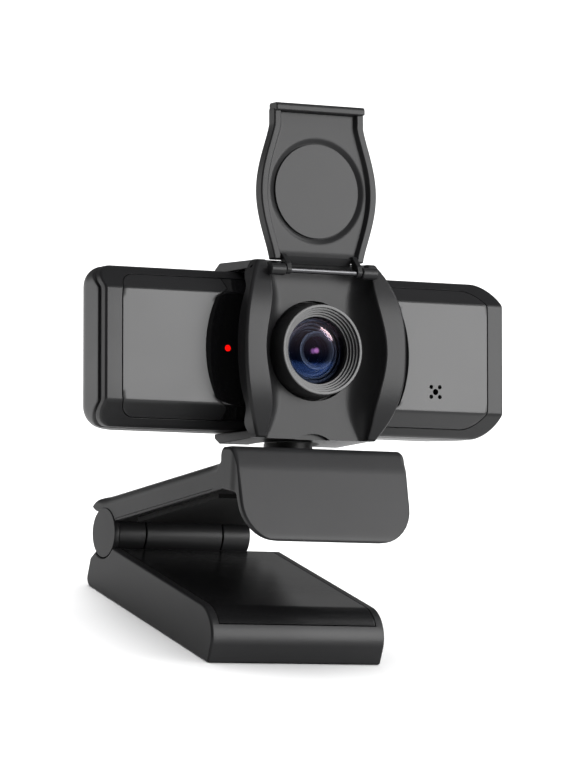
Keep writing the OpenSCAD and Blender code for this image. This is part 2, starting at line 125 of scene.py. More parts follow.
class HeadSizes(bpy.types.PropertyGroup):
    """Sizes of the head's casing and lens."""
    width: length("Width", "Width of the head", width_of("rear_shell"))
    height: length("Height", "Height of the head", 33.7)
    depth: length("Depth", "Depth from the flat front to the back", 18.0)
    flat: length("Flat band", "Height of the flat band of the front", 23.6)
    slope: length("Slope", "How far the sloping bands run back", 6.4)
    corner: length("Corner", "Corner radius seen from the front", 4.4)
    panel_x: length("Panel half width", "Half width of the front inlay", 44.1)
    panel_z: length("Panel half height", "Half height of the front inlay", 15.05)
    ring_radius: length("Lens ring", "Radius of the lens ring", 9.6)
    ring_reach: length("Ring reach", "How far the lens ring stands out", 6.2)
    glass_radius: length("Glass", "Radius of the visible front glass", 7.1)


class CoverSizes(bpy.types.PropertyGroup):
    """Sizes of the privacy cover and its lid."""
    half_width: length("Half width", "Half width of the cover at mid height", 19.4)
    end_half_width: length("End half width", "Half width at the straps", 14.4)
    reach: length("Reach", "How far the ribs stand in front of the head", 8.1)
    lid_length: length("Lid length", "From the lid's hinge to its tip", 35.4)
    lid_half_width: length("Lid half width", "Half width of the lid at its widest", 13.9)
    disc_radius: length("Disc radius", "Radius of the disc set in the lid", 10.0)


class ClipSizes(bpy.types.PropertyGroup):
    """Sizes of the folding clip."""
    arm_width: length("Arm width", "Width of the arm and lip", width_of("arm"))
    leg_width: length("Leg width", "Width of the leg", width_of("leg_shell"))
    leg_length: length("Leg length", "Leg in front of the hinge axis", 55.4)
    leg_thickness: length("Leg thickness", "Height of the leg", 11.0)
    arm_angle: bpy.props.FloatProperty(name="Arm angle", default=np.radians(23.3),
                                       description="Angle between the arm and the leg",
                                       subtype="ANGLE")


class FinishColours(bpy.types.PropertyGroup):
    """Colours of the finishes."""
    frame: colour("Front frame", "Textured frame round the front", (0.006, 0.006, 0.0064))
    case: colour("Rear case", "Textured rear case", (0.010, 0.010, 0.0105))
    panel: colour("Front panels", "Satin side panels", (0.007, 0.007, 0.0074))
    gloss: colour("Middle panel", "Glossy middle of the front", (0.003, 0.003, 0.0033))
    cover: colour("Cover", "Privacy cover and lid", (0.008, 0.008, 0.0084))
    clip: colour("Clip", "Arm, lip and leg", (0.010, 0.010, 0.0105))
    leg_cover: colour("Leg cover", "Smooth inlay of the leg", (0.005, 0.005, 0.0053))
    ring: colour("Lens ring", "Stepped ring round the lens", (0.013, 0.013, 0.0135))
    rubber: colour("Rubber", "Pads and gland", (0.006, 0.006, 0.006))
    metal: colour("Steel", "Pins and screws", (0.52, 0.52, 0.53))
    brass: colour("Brass", "Washers and insert", (0.62, 0.44, 0.17))
    light: colour("Status light", "The status light", (1.0, 0.004, 0.002))


class StageSettings(bpy.types.PropertyGroup):
    """The camera's place and the floor."""
    turn: bpy.props.FloatProperty(name="Turn", default=np.radians(29.0), subtype="ANGLE",
                                  description="How far the camera stands to the head's right")
    rise: bpy.props.FloatProperty(name="Rise", default=np.radians(-4.35), subtype="ANGLE",
                                  description="Camera's height angle in the head's frame")
    focal: bpy.props.FloatProperty(name="Focal length", default=247.22, min=1.0,
                                   description="Focal length of the camera in millimetres")
    floor: length("Floor", "Half width of the floor", 3000.0)


# ---- curves and grids -----------------------------------------------------------
def smooth(t):
    """Rises from 0 to 1 as t does, level at both ends: three t squared less two t cubed."""
    t = np.clip(t, 0.0, 1.0)
    return t * t * (3.0 - 2.0 * t)


def arc(centre, radius, start, end, count):
    """Points on a circle, from one angle in degrees to another."""
    angle = np.radians(np.linspace(start, end, count))
    return np.stack([centre[0] + radius * np.cos(angle), centre[1] + radius * np.sin(angle)], -1)


def fillet(points, radii, steps=5):
    """A closed outline whose corners are arcs: at each corner the arc's centre lies on the
    bisector, and the arc runs between the two points where it meets the sides."""
    points = np.asarray(points, float)
    out = []
    neighbours = np.roll(points, 1, 0), np.roll(points, -1, 0)
    for here, before, after, radius in zip(points, *neighbours, radii):
        if radius <= 0:
            out.append(here[None])
            continue
        u = (before - here) / np.linalg.norm(before - here)
        v = (after - here) / np.linalg.norm(after - here)
        half = np.arccos(np.clip(u @ v, -1, 1)) / 2
        centre = here + (u + v) / np.linalg.norm(u + v) * radius / np.sin(half)
        first = here + u * radius / np.tan(half) - centre
        last = here + v * radius / np.tan(half) - centre
        sweep = np.arccos(np.clip(first @ last / radius ** 2, -1, 1))
        w = np.linspace(0, 1, steps)[:, None]
        spoke = np.sin((1 - w) * sweep) * first + np.sin(w * sweep) * last
        out.append(centre + spoke / np.sin(sweep))
    return np.concatenate(out)


def closed(row):
    """A grid's columns with the first one again at the end."""
    return np.concatenate([row, row[:, :1]], 1)


def inset(outline, distance):
    """A closed outline moved inwards along the mean normals of its two sides."""
    ahead = np.roll(outline, -1, 0) - outline
    ahead /= np.maximum(np.linalg.norm(ahead, axis=1, keepdims=True), 1e-9)
    normal = np.stack([-ahead[:, 1], ahead[:, 0]], -1)
    mean = normal + np.roll(normal, 1, 0)
    mean /= np.maximum((mean * normal).sum(1, keepdims=True), 0.35)
    x, y = outline.T
    area = (x * np.roll(y, -1) - np.roll(x, -1) * y).sum()
    return outline + mean * distance * np.sign(area)


class Shell:
    """Closed surfaces gathered from grids of points, in one of the two frames."""

    def __init__(self, place):
        self.place = place
        self.points = []
        self.faces = []
        self.count = 0

    def grid(self, points):
        """Adds a rows by columns grid as quads."""
        rows, columns = points.shape[:2]
        index = np.arange(rows * columns).reshape(rows, columns) + self.count
        quads = np.stack([index[:-1, :-1], index[:-1, 1:], index[1:, 1:], index[1:, :-1]], -1)
        self.faces += quads.reshape(-1, 4).tolist()
        self._keep(points.reshape(-1, 3))
        return self

    def cap(self, row):
        """Adds one flat face over a ring of points."""
        self.faces.append((np.arange(len(row)) + self.count).tolist())
        self._keep(row)
        return self

    def _keep(self, points):
        self.points.append(self.place(points))
        self.count += len(points)

    def tube(self, rings):
        """Rings of points joined one to the next, with a flat face at each end."""
        self.grid(closed(rings))
        return self.cap(rings[0]).cap(rings[-1])

    def torus(self, rings):
        """Rings of points joined one to the next and the last one to the first."""
        rings = closed(rings)
        return self.grid(np.concatenate([rings, rings[:1]]))

    def across(self, outline, half_width, edge=0.0, centre=0.0, steps=4):
        """A side-view outline (y, z) carried along X, its two end edges rounded:
        at angle a the ring is inset by edge times 1 - sin a and sits edge times
        1 - cos a short of the end."""
        rings = []
        for a in np.linspace(0, np.pi / 2, steps) if edge else [0.0]:
            flat = inset(outline, edge * (1 - np.sin(a)))
            x = half_width - edge * (1 - np.cos(a))
            rings.append(np.column_stack([np.full(len(flat), x), flat]))
        left = [ring * [-1, 1, 1] for ring in rings]
        rings = np.array(left + rings[::-1])
        return self.tube(rings + [centre, 0, 0])

    def band(self, top, bottom, half, top_edge, bottom_edge, steps=5):
        """A bent bar: at each station a rounded rectangle stands between a point of the
        bottom path and one of the top path, as wide as twice half."""
        top, bottom = np.asarray(top, float), np.asarray(bottom, float)
        span = top - bottom
        height = np.linalg.norm(span, axis=1)
        span = span / height[:, None]
        turn = np.radians(np.linspace(0, 90, steps))
        half, height = np.broadcast_to(half, height.shape)[:, None], height[:, None]
        upper, lower = (np.minimum(np.broadcast_to(edge, height.shape[:1])[:, None], 0.48 * height)
                        for edge in (top_edge, bottom_edge))
        sine, cosine = np.sin(turn), np.cos(turn)
        x = np.concatenate([half - lower + lower * sine, half - upper + upper * cosine,
                            -half + upper - upper * sine, -half + lower - lower * cosine], 1)
        q = np.concatenate([lower - lower * cosine, height - upper + upper * sine,
                            height - upper + upper * cosine, lower - lower * sine], 1)
        side = bottom[:, None] + span[:, None] * q[..., None]
        return self.tube(np.concatenate([x[..., None], side], -1))

    def turned(self, profile, axis, centre=(0, 0, 0), count=96):
        """A profile of (radius, distance along the axis) turned round an axis, and closed
        unless both its ends lie on the axis."""
        angle = np.linspace(0, 2 * np.pi, count + 1)
        radius, along = np.asarray(profile, float).T
        ring = radius[:, None, None] * np.stack([np.cos(angle), np.sin(angle)], -1)[None]
        line = np.repeat(along[:, None, None], count + 1, 1)
        order = {"x": (line, ring), "y": (ring[..., :1], line, ring[..., 1:]), "z": (ring, line)}
        grid = np.concatenate(order[axis], -1) + np.asarray(centre, float)
        hollow = radius[0] > 0 or radius[-1] > 0
        return self.grid(np.concatenate([grid, grid[:1]]) if hollow else grid)

    def rod(self, axis, centre, radius, start, end, bevel=0.0, count=64):
        """A cylinder along an axis, with its two rims bevelled."""
        profile = [(0, start), (radius - bevel, start), (radius, start + bevel),
                   (radius, end - bevel), (radius - bevel, end), (0, end)]
        return self.turned(profile, axis, centre, count)

    def block(self, low, high):
        """A box between two corners."""
        (x0, y0, z0), (x1, y1, z1) = low, high
        ring = np.array([[x0, y0], [x1, y0], [x1, y1], [x0, y1]], float)
        return self.tube(np.array([np.column_stack([ring, np.full(4, z)]) for z in (z0, z1)]))

    def plate(self, front, back):
        """Two grids of one size, front and back, joined round their borders."""
        self.grid(front).grid(back)
        for edge in (np.s_[0], np.s_[-1], np.s_[:, 0], np.s_[:, -1]):
            self.grid(np.stack([front[edge], back[edge]]))
        return self

    def mesh(self, name):
        """The mesh in metres, its seams and poles merged and its faces turned outwards."""
        mesh = bpy.data.meshes.new(name)
        mesh.from_pydata(np.concatenate(self.points).tolist(), [], self.faces)
        work = bmesh.new()
        work.from_mesh(mesh)
        bmesh.ops.remove_doubles(work, verts=work.verts, dist=2e-7)
        bmesh.ops.dissolve_degenerate(work, edges=work.edges, dist=1e-7)
        bmesh.ops.recalc_face_normals(work, faces=work.faces)
        work.to_mesh(mesh)
        work.free()
        return mesh

    def object(self, name):
        """An object of this shell, linked to the scene."""
        made = bpy.data.objects.new(name, self.mesh(name))
        bpy.context.scene.collection.objects.link(made)
        return made


def apply_modifiers(piece):
    """Puts the result of a piece's modifiers into its mesh."""
    bpy.context.view_layer.update()
    done = piece.evaluated_get(bpy.context.evaluated_depsgraph_get())
    mesh = bpy.data.meshes.new_from_object(done)
    piece.modifiers.clear()
    piece.data = mesh
    return piece


def carve(piece, *shells, operation="DIFFERENCE"):
    """Takes shells away from a piece, one after the other."""
    for shell in shells:
        tool = shell.object(piece.name + "_tool")
        change = piece.modifiers.new("carve", "BOOLEAN")
        change.operation = operation
        change.solver = "EXACT"
        change.object = tool
        apply_modifiers(piece)
        bpy.data.objects.remove(tool)
        if not piece.data.polygons:
            raise RuntimeError(piece.name + " was lost while it was carved")


def join(piece, shell):
    """Joins a shell to a piece."""
    carve(piece, shell, operation="UNION")


def round_edges(piece, millimetres, angle=50.0, segments=2):
    """Rounds every edge sharper than an angle."""
    bevel = piece.modifiers.new("round", "BEVEL")
    bevel.width = millimetres * MM
    bevel.segments = segments
    bevel.limit_method = "ANGLE"
    bevel.angle_limit = np.radians(angle)
    return apply_modifiers(piece)


def finish(piece, material, body, slot, *nodes, angle=32.0):
    """Smooth shading with crisp edges, then the piece's material and body, and the frame's nodes it
    replaces hidden; slot is not used.
    """
    piece.data.materials.clear()
    piece.data.materials.append(material)
    piece.data.shade_smooth()
    piece.data.set_sharp_from_angle(angle=np.radians(angle))
    weigh = piece.modifiers.new("weighted normals", "WEIGHTED_NORMAL")
    weigh.keep_sharp = True
    weigh.weight = 100
    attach(piece, body)
    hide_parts(*nodes)
    return piece


# ---- materials --------------------------------------------------------------------
class Wire:
    """A socket that takes part in Python arithmetic: each operator adds a Math node."""

    def __init__(self, tree, socket):
        self.tree = tree
        self.socket = socket

    def _with(self, operation, first, second):
        return self.tree.node("ShaderNodeMath", {"operation": operation}, {0: first, 1: second})

    def __add__(self, other):
        return self._with("ADD", self, other)

    __radd__ = __add__

    def __sub__(self, other):
        return self._with("SUBTRACT", self, other)

    def __rsub__(self, other):
        return self._with("SUBTRACT", other, self)

    def __mul__(self, other):
        return self._with("MULTIPLY", self, other)

    __rmul__ = __mul__

    def between(self, low, high):
        """0 below low and 1 above high, smooth between them."""
        return self.tree.node("ShaderNodeMapRange", {"interpolation_type": "SMOOTHSTEP"},
                              {"Value": self, "From Min": low, "From Max": high})


class Tree:
    """A material's nodes."""

    def __init__(self, name):
        self.material = bpy.data.materials.new(name)
        self.material.use_nodes = True
        self.nodes = self.material.node_tree.nodes
        self.links = self.material.node_tree.links
        self.nodes.clear()
        self.coordinates = self.node("ShaderNodeTexCoord", out="Object")

    def node(self, kind, settings=None, inputs=None, out=0):
        """Adds a node: first its settings, then its sockets' values or links."""
        made = self.nodes.new(kind)
        for key, value in (settings or {}).items():
            setattr(made, key, value)
        for key, value in (inputs or {}).items():
            socket = made.inputs[key]
            if isinstance(value, Wire):
                self.links.new(value.socket, socket)
            else:
                socket.default_value = value
        return Wire(self, made.outputs[out])

    def noise(self, scale, detail=2.0, rough=0.5, stretch=(1, 1, 1)):
        """Fractal noise with its grain size set by scale, in grains per metre."""
        place = self.node("ShaderNodeMapping", None, {"Vector": self.coordinates, "Scale": stretch})
        return self.node("ShaderNodeTexNoise", None,
                         {"Vector": place, "Scale": scale, "Detail": detail, "Roughness": rough})

    def mix(self, factor, first, second):
        """A colour between two colours."""
        settings = {"data_type": "RGBA"}
        return self.node("ShaderNodeMix", settings, {"Factor": factor, 6: first, 7: second}, out=2)

    def bump(self, height, distance):
        """A normal from a height of 0 to 1 that stands for a distance in metres."""
        return self.node("ShaderNodeBump", None, {"Height": height, "Distance": distance})

    def principled(self, sockets):
        """A Principled shader with these sockets."""
        return self.node("ShaderNodeBsdfPrincipled", None, sockets)

    def finish(self, shader):
        """Sends a shader to the output and gives the material."""
        output = self.nodes.new("ShaderNodeOutputMaterial")
        self.links.new(shader.socket, output.inputs["Surface"])
        return self.material


def four(value, gain=1.0):
    """A colour with an alpha of one, its parts times gain."""
    return tuple(min(1.0, part * gain) for part in value) + (1.0,)


def moulded(name, tint, rough, specular, grain=4200.0, depth=0.000012, handled=0.06):
    """Moulded plastic: spark-eroded grain, faint flow clouds in colour and gloss, and
    lightly polished patches where it is handled."""
    tree = Tree(name)
    fine = tree.noise(grain, 3.0, 0.6)
    cloud = tree.noise(45.0, 2.0)
    patch = tree.noise(22.0, 3.0, 0.55).between(0.52, 0.72)
    tone = tree.mix(cloud, four(tint, 0.88), four(tint, 1.12))
    tone = tree.mix(fine.between(0.55, 0.8) * 0.35, tone, four(tint, 1.6))
    gloss = rough + (cloud - 0.5) * 0.07 + (fine - 0.5) * 0.08 - patch * handled
    return tree.finish(tree.principled({
        "Base Color": tone, "Roughness": gloss, "Specular IOR Level": specular,
        "Normal": tree.bump(fine, depth)}))


def glossy(name, tint, rough, specular, coat=1.0):
    """Polished plastic: a very slight waviness and a clear coat with fine dust."""
    tree = Tree(name)
    wave = tree.noise(70.0, 1.0)
    dust = tree.noise(5200.0, 1.0).between(0.72, 0.78)
    tone = tree.mix(dust * 0.25, four(tint), four((0.12, 0.12, 0.12)))
    return tree.finish(tree.principled({
        "Base Color": tone, "Roughness": rough + dust * 0.2 + (wave - 0.5) * 0.03,
        "Specular IOR Level": specular, "Coat Weight": coat, "Coat Roughness": 0.04,
        "Normal": tree.bump(wave, 0.00002)}))


def turned_metal(name, tint, rough):
    """Turned metal: fine lines round the axis as stretched noise, with stains."""
    tree = Tree(name)
    lines = tree.noise(900.0, 2.0, 0.6, stretch=(8, 1, 1))
    stain = tree.noise(300.0, 2.0)
    tone = tree.mix(stain, four(tint, 0.8), four(tint, 1.1))
    return tree.finish(tree.principled({
        "Base Color": tone, "Metallic": 1.0, "Roughness": rough + (lines - 0.5) * 0.2,
        "Normal": tree.bump(lines, 0.000006)}))


def circuit_board(name):
    """Green solder mask with a glimpse of the copper tracks under it."""
    tree = Tree(name)
    track = tree.node("ShaderNodeTexBrick", {"offset": 0.37},
                      {"Vector": tree.coordinates, "Scale": 420.0, "Mortar Size": 0.03,
                       "Color1": (0, 0, 0, 1), "Color2": (0, 0, 0, 1), "Mortar": (1, 1, 1, 1)})
    tone = tree.mix(track, (0.012, 0.10, 0.035, 1), (0.03, 0.19, 0.06, 1))
    return tree.finish(tree.principled({
        "Base Color": tone, "Roughness": 0.32 + tree.noise(800.0) * 0.1,
        "Normal": tree.bump(track, 0.00002)}))


def coated_glass(name, low, high, strength, painted_pupil_glint=(0, 0, 0)):
    """Coated lens glass: clear, with a mirror film that grows towards the rim. The mirror's colour is a
    painted reflection tint that turns from low to high over the height of the glass, bluish below and
    pink above, so the reflections take those colours by height. Round the lens's axis, the length of
    the cross product of the place with the axis, a painted pupil glint glows: a pink emission that
    stands in for a reflection inside the lens."""
    tree = Tree(name)
    smear = tree.noise(260.0, 1.0)
    middle = HEAD_ORIGIN[2] * MM
    # Painted reflection tint: the mirror's colour is set by height alone, from low below the lens's
    # middle to high above it.
    height = tree.node("ShaderNodeSeparateXYZ", None, {"Vector": tree.coordinates}, out="Z")
    painted_reflection_tint = tree.mix(height.between(middle - 0.001, middle + 0.006), four(low), four(high))
    place = tree.node("ShaderNodeVectorMath", {"operation": "SUBTRACT"},
                      {0: tree.coordinates, 1: tuple(HEAD_ORIGIN * MM)})
    across = tree.node("ShaderNodeVectorMath", {"operation": "CROSS_PRODUCT"},
                       {0: place, 1: tuple(BACK)})
    radius = tree.node("ShaderNodeVectorMath", {"operation": "LENGTH"}, {0: across}, out="Value")
    # Painted pupil glint: a pink emission close to the lens's axis that stands in for a reflection
    # inside the lens. The glass is no lamp.
    glow = tree.mix(radius.between(0.0002, 0.0008), four(painted_pupil_glint), (0, 0, 0, 1))
    mirror = tree.principled({
        "Base Color": painted_reflection_tint, "Metallic": 1.0, "Roughness": 0.09 + smear * 0.05,
        "Emission Color": glow, "Emission Strength": 1.8})
    clear = tree.node("ShaderNodeBsdfTransparent", None, {"Color": (0.80, 0.85, 0.95, 1)})
    rim = tree.node("ShaderNodeLayerWeight", None, {"Blend": 0.3}, out="Facing")
    film_share = strength + rim * 0.3
    return tree.finish(tree.node("ShaderNodeMixShader", None, {0: film_share, 1: clear, 2: mirror}))


def status_light(name, tint):
    """A clear light guide, lit from inside, with a faint cloud in its glow."""
    tree = Tree(name)
    glow = tree.noise(1500.0, 1.0)
    tone = tree.mix(glow, four(tint), four(tint, 0.8))
    return tree.finish(tree.principled({
        "Base Color": tone, "Roughness": 0.25 + glow * 0.1, "Emission Color": tone,
        "Emission Strength": 1.0}))


FINISHES = {}


def make_finishes(tints):
    """Every finish of the object, by name."""
    FINISHES.update(
        frame=moulded("frame_plastic", tints.frame, 0.40, 0.20),
        case=moulded("case_plastic", tints.case, 0.42, 0.45),
        panel=moulded("panel_plastic", tints.panel, 0.35, 0.29, 5200.0, 0.000006, 0.03),
        gloss=glossy("middle_gloss", tints.gloss, 0.07, 0.3, 0.15),
        cover=moulded("cover_plastic", tints.cover, 0.37, 0.15),
        disc=moulded("disc_plastic", tints.cover, 0.34, 0.15, 6000.0, 0.000004, 0.03),
        clip=moulded("clip_plastic", tints.clip, 0.38, 0.16),
        leg_cover=moulded("leg_cover_plastic", tints.leg_cover, 0.26, 0.22, 6000.0, 0.0000015),
        ring=moulded("ring_plastic", tints.ring, 0.34, 0.34, 6000.0, 0.000004, 0.02),
        barrel=moulded("lens_black", (0.003, 0.003, 0.0032), 0.45, 0.3, 6000.0, 0.000003),
        neck=moulded("neck_plastic", (0.004, 0.004, 0.004), 0.45, 0.15),
        rubber=moulded("pad_rubber", tints.rubber, 0.72, 0.15, 2600.0, 0.00003, 0.0),
        chip=moulded("chip_resin", (0.02, 0.02, 0.022), 0.5, 0.4),
        steel=turned_metal("turned_steel", tints.metal, 0.3),
        dark_steel=turned_metal("blackened_steel", (0.05, 0.05, 0.052), 0.3),
        brass=turned_metal("turned_brass", tints.brass, 0.34),
        board=circuit_board("solder_mask"),
        # The glasses' low and high colours are painted reflection tints, bluish below and pink above.
        glass=coated_glass("front_glass", (0.03, 0.07, 0.22), (0.85, 0.62, 0.66), 0.13),
        # The inner glass's last colour is a painted pupil glint, a pink emission that stands in for a
        # reflection inside the lens.
        inner_glass=coated_glass("inner_glass", (0.01, 0.01, 0.03), (0.3, 0.1, 0.2), 0.4,
                                 (1.0, 0.35, 0.8)),
        lamp=status_light("status_red", tints.light),
    )


# ---- the head's casing ---------------------------------------------------------------
STRAIGHT = 12.45  # height up to which a casing's side keeps its samples
PANEL_DEPTH = 1.0  # thickness of the front inlay
RECESS = PANEL_DEPTH + 0.02  # depth of its seat in the frame
FRAME_DEPTH = 1.75  # from the frame's front to its back edge
LIP_START = FRAME_DEPTH + 0.12  # where the rear case begins
SEAM_DEPTH = 3.5  # where the rear case's outer wall begins
PANEL_CORNER = 4.7  # corner radius of the inlay's seat
GROOVE = 0.15  # gap round the inlay
LENS_HOLE = 7.8  # radius
PLATE_REACH = (-1, 3)  # a hole's tool goes this far in front of and behind the front
LED_X, LED_HOLE = -19.3, 0.7
MIC_X, MIC_Z, MIC_STEP, MIC_HOLE, MIC_SIDE_HOLE, MIC_ROOM = 31.1, -7.4, 1.05, 0.66, 0.46, 1.9
NECK_ROOM = (4.8, 4.3)  # half sizes of the neck's opening, across and along
SADDLE_ROOM = (7.5, 2.9)  # half sizes of the tilt saddles' opening
SCREW_X, SCREW_Z, SCREW_POST, SCREW_HOLE = 37.0, 12.2, 2.6, 2.0
GLAND_Z, GLAND_HOLE = 5.0, 2.55
CREASE = np.array([-0.4, -0.2, 0.0, 0.2, 0.4])  # heights of rows round the front's crease
BOW, BOW_END, EDGE_START, EDGE_X = 24.45, 10.526, 12.7, 18.9  # middle panel's edge


def millimetres(group):
    """A property group's lengths in millimetres, by name."""
    return {key: getattr(group, key) / MM for key in group.__annotations__}


def fold(z, head):
    """How far the front lies back at height z: level over the flat band, then a slope,
    with a parabola through the crease between them."""
    past = np.abs(z) - head["flat"] / 2
    rate = head["slope"] / (head["height"] / 2 - head["flat"] / 2)
    soft = CREASE[-1]
    bent = np.where(past > soft, past, (past + soft) ** 2 / (4 * soft))
    return rate * np.where(past < -soft, 0.0, bent)


def rim(half_x, half_z, radius, head):
    """A rounded rectangle as rows of (x, z): the side up to a fixed height, with samples
    gathered at the front's crease, then the corner's arc, then the top; mirrored twice."""
    half_x, half_z, radius = (np.reshape(v, (-1, 1)) for v in (half_x, half_z, radius))
    flat = head["flat"] / 2
    side = np.concatenate([np.linspace(0, flat - 0.8, 8), flat + CREASE, [STRAIGHT]])[None]
    near, low = half_x - radius, half_z - radius
    x_side = near + np.sqrt(np.maximum(radius ** 2 - np.maximum(side - low, 0) ** 2, 0))
    start = np.arcsin(np.clip((STRAIGHT - low) / radius, 0, 1))
    turn = start + (np.pi / 2 - start) * np.linspace(0, 1, 12)[None]
    top = np.linspace(1, 0, 10)[None, 1:]
    x = np.concatenate([x_side, near + radius * np.cos(turn), near * top], 1)
    z = np.concatenate([side + 0 * x_side, low + radius * np.sin(turn), half_z + 0 * top], 1)
    x = np.concatenate([x, -x[:, -2::-1], -x[:, 1:], x[:, -2:0:-1]], 1)
    z = np.concatenate([z, z[:, -2::-1], -z[:, 1:], -z[:, -2:0:-1]], 1)
    return x, z


def rim_rings(rows, head):
    """Rings of a casing from rows of (half width, half height, radius, depth)."""
    half_x, half_z, radius, depth = np.array(rows, float).T
    x, z = rim(half_x, half_z, radius, head)
    return np.stack([x, depth[:, None] + fold(z, head), z], -1)


def neck_slot(shell):
    """Room for the neck in the casing's underside."""
    half, along = NECK_ROOM
    return shell.block((-half, TILT_BACK - along, -22), (half, TILT_BACK + along, -11.35))


def led_hole(shell, radius, count=64):
    """The status light's hole."""
    return shell.rod("y", (LED_X, 0, 0), radius, *PLATE_REACH, count=count)


def front_frame(head):
    """The rim round the front: a section of round outer edge, land, soft inner edge and
    recess floor carried round the head, its floor running in to the lens hole."""
    x, z, r = head["width"] / 2, head["height"] / 2, head["corner"]
    px, pz, pr, soft, edge = head["panel_x"], head["panel_z"], PANEL_CORNER, 0.5, 0.16
    turn = np.radians(np.linspace(0, 90, 5))
    rows = [(x, z, r, FRAME_DEPTH)]
    rows += [(x - soft + soft * c, z - soft + soft * c, r - soft + soft * c, soft - soft * s)
             for c, s in zip(np.cos(turn), np.sin(turn))]
    rows += [(px + edge - edge * s, pz + edge - edge * s, pr + edge - edge * s, edge - edge * c)
             for c, s in zip(np.cos(turn), np.sin(turn))]
    rows += [(px, pz, pr, RECESS)]
    rings = rim_rings(rows, head)
    inner = rings[-1]
    angle = np.arctan2(inner[:, 2], inner[:, 0])
    hole = np.stack([LENS_HOLE * np.cos(angle), 0 * angle, LENS_HOLE * np.sin(angle)], -1)
    floor = [inner * (1 - t) + hole * t for t in (0.3, 0.7, 1.0)]
    for ring in floor:
        ring[:, 1] = RECESS + fold(ring[:, 2], head)
    back = hole + [0, FRAME_DEPTH, 0]
    rings = np.concatenate([rings, np.array(floor), back[None]])
    piece = Shell(on_head).torus(rings).object("front_frame_rim")
    tool = led_hole(neck_slot(Shell(on_head)), LED_HOLE + 0.05)
    for side in (-1, 1):
        tool.rod("y", (side * MIC_X, 0, MIC_Z), MIC_ROOM, *PLATE_REACH)
    carve(piece, tool)
    return finish(piece, FINISHES["frame"], "head", "frame_plastic", "front_frame")


def middle_edge(z):
    """Half width of the middle panel at height z: a circle's arc, then a straight
    diagonal, then an upright edge."""
    high = np.abs(z)
    wide = np.sqrt(BOW ** 2 - np.minimum(high, BOW_END) ** 2)
    share = np.clip((high - BOW_END) / (EDGE_START - BOW_END), 0, 1)
    return wide + (EDGE_X - wide) * share


def panel_rows(head):
    """Heights of a panel's rows, gathered at its crease, its corners and its bends."""
    flat, top = head["flat"] / 2, head["panel_z"] - GROOVE
    upper = np.concatenate([np.linspace(0, 10.2, 14), [BOW_END, 11.0], flat + CREASE, [EDGE_START],
                            np.linspace(13.1, top - 0.12, 7), [top - 0.04, top]])
    return np.concatenate([-upper[:0:-1], upper])


def panel_end(z, head):
    """Outer edge of the front inlay at height z, with its corner's arc."""
    radius = PANEL_CORNER - GROOVE
    x, top = head["panel_x"] - GROOVE, head["panel_z"] - GROOVE
    rise = np.maximum(np.abs(z) - (top - radius), 0)
    return x - radius + np.sqrt(np.maximum(radius ** 2 - rise ** 2, 0))


def sheet(left, right, z, head, columns):
    """A plate between two edges, which follows the head's front: x runs evenly from the
    left edge to the right one in each row of one height."""
    share = np.linspace(0, 1, columns)[None]
    x = left[:, None] * (1 - share) + right[:, None] * share
    z = np.repeat(z[:, None], columns, 1)
    front = np.stack([x, fold(z, head), z], -1)
    return Shell(on_head).plate(front, front + [0, PANEL_DEPTH - 0.02, 0])


def corners(x, z):
    """The four corners of an upright rectangle round the origin."""
    return [(sx * x, 0, sz * z) for sx in (-1, 1) for sz in (-1, 1)]


def side_panel(name, side, head):
    """A satin panel of the front, left or right of the middle one."""
    z = panel_rows(head)
    inner, outer = middle_edge(z) + 0.07, panel_end(z, head)
    edges = (inner, outer) if side > 0 else (-outer, -inner)
    piece = round_edges(sheet(*edges, z, head, 26).object(name + "_plate"), 0.14)
    if side > 0:
        holes = Shell(on_head).rod("y", (MIC_X, 0, MIC_Z), MIC_HOLE, *PLATE_REACH, count=40)
        for x, y, z in corners(MIC_STEP, MIC_STEP):
            holes.rod("y", (MIC_X + x, y, MIC_Z + z), MIC_SIDE_HOLE, *PLATE_REACH, count=32)
        carve(piece, holes)
    return finish(piece, FINISHES["panel"], "head", "panel_plastic", name)


def middle_panel(head):
    """The glossy middle of the front, with holes for the lens and the status light."""
    z = panel_rows(head)
    edge = middle_edge(z) - 0.07
    piece = round_edges(sheet(-edge, edge, z, head, 34).object("middle_plate"), 0.12)
    hole = Shell(on_head).rod("y", (0, 0, 0), LENS_HOLE, *PLATE_REACH, count=128)
    carve(piece, led_hole(hole, LED_HOLE, 48))
    return finish(piece, FINISHES["gloss"], "head", "gloss_black", "middle_panel")


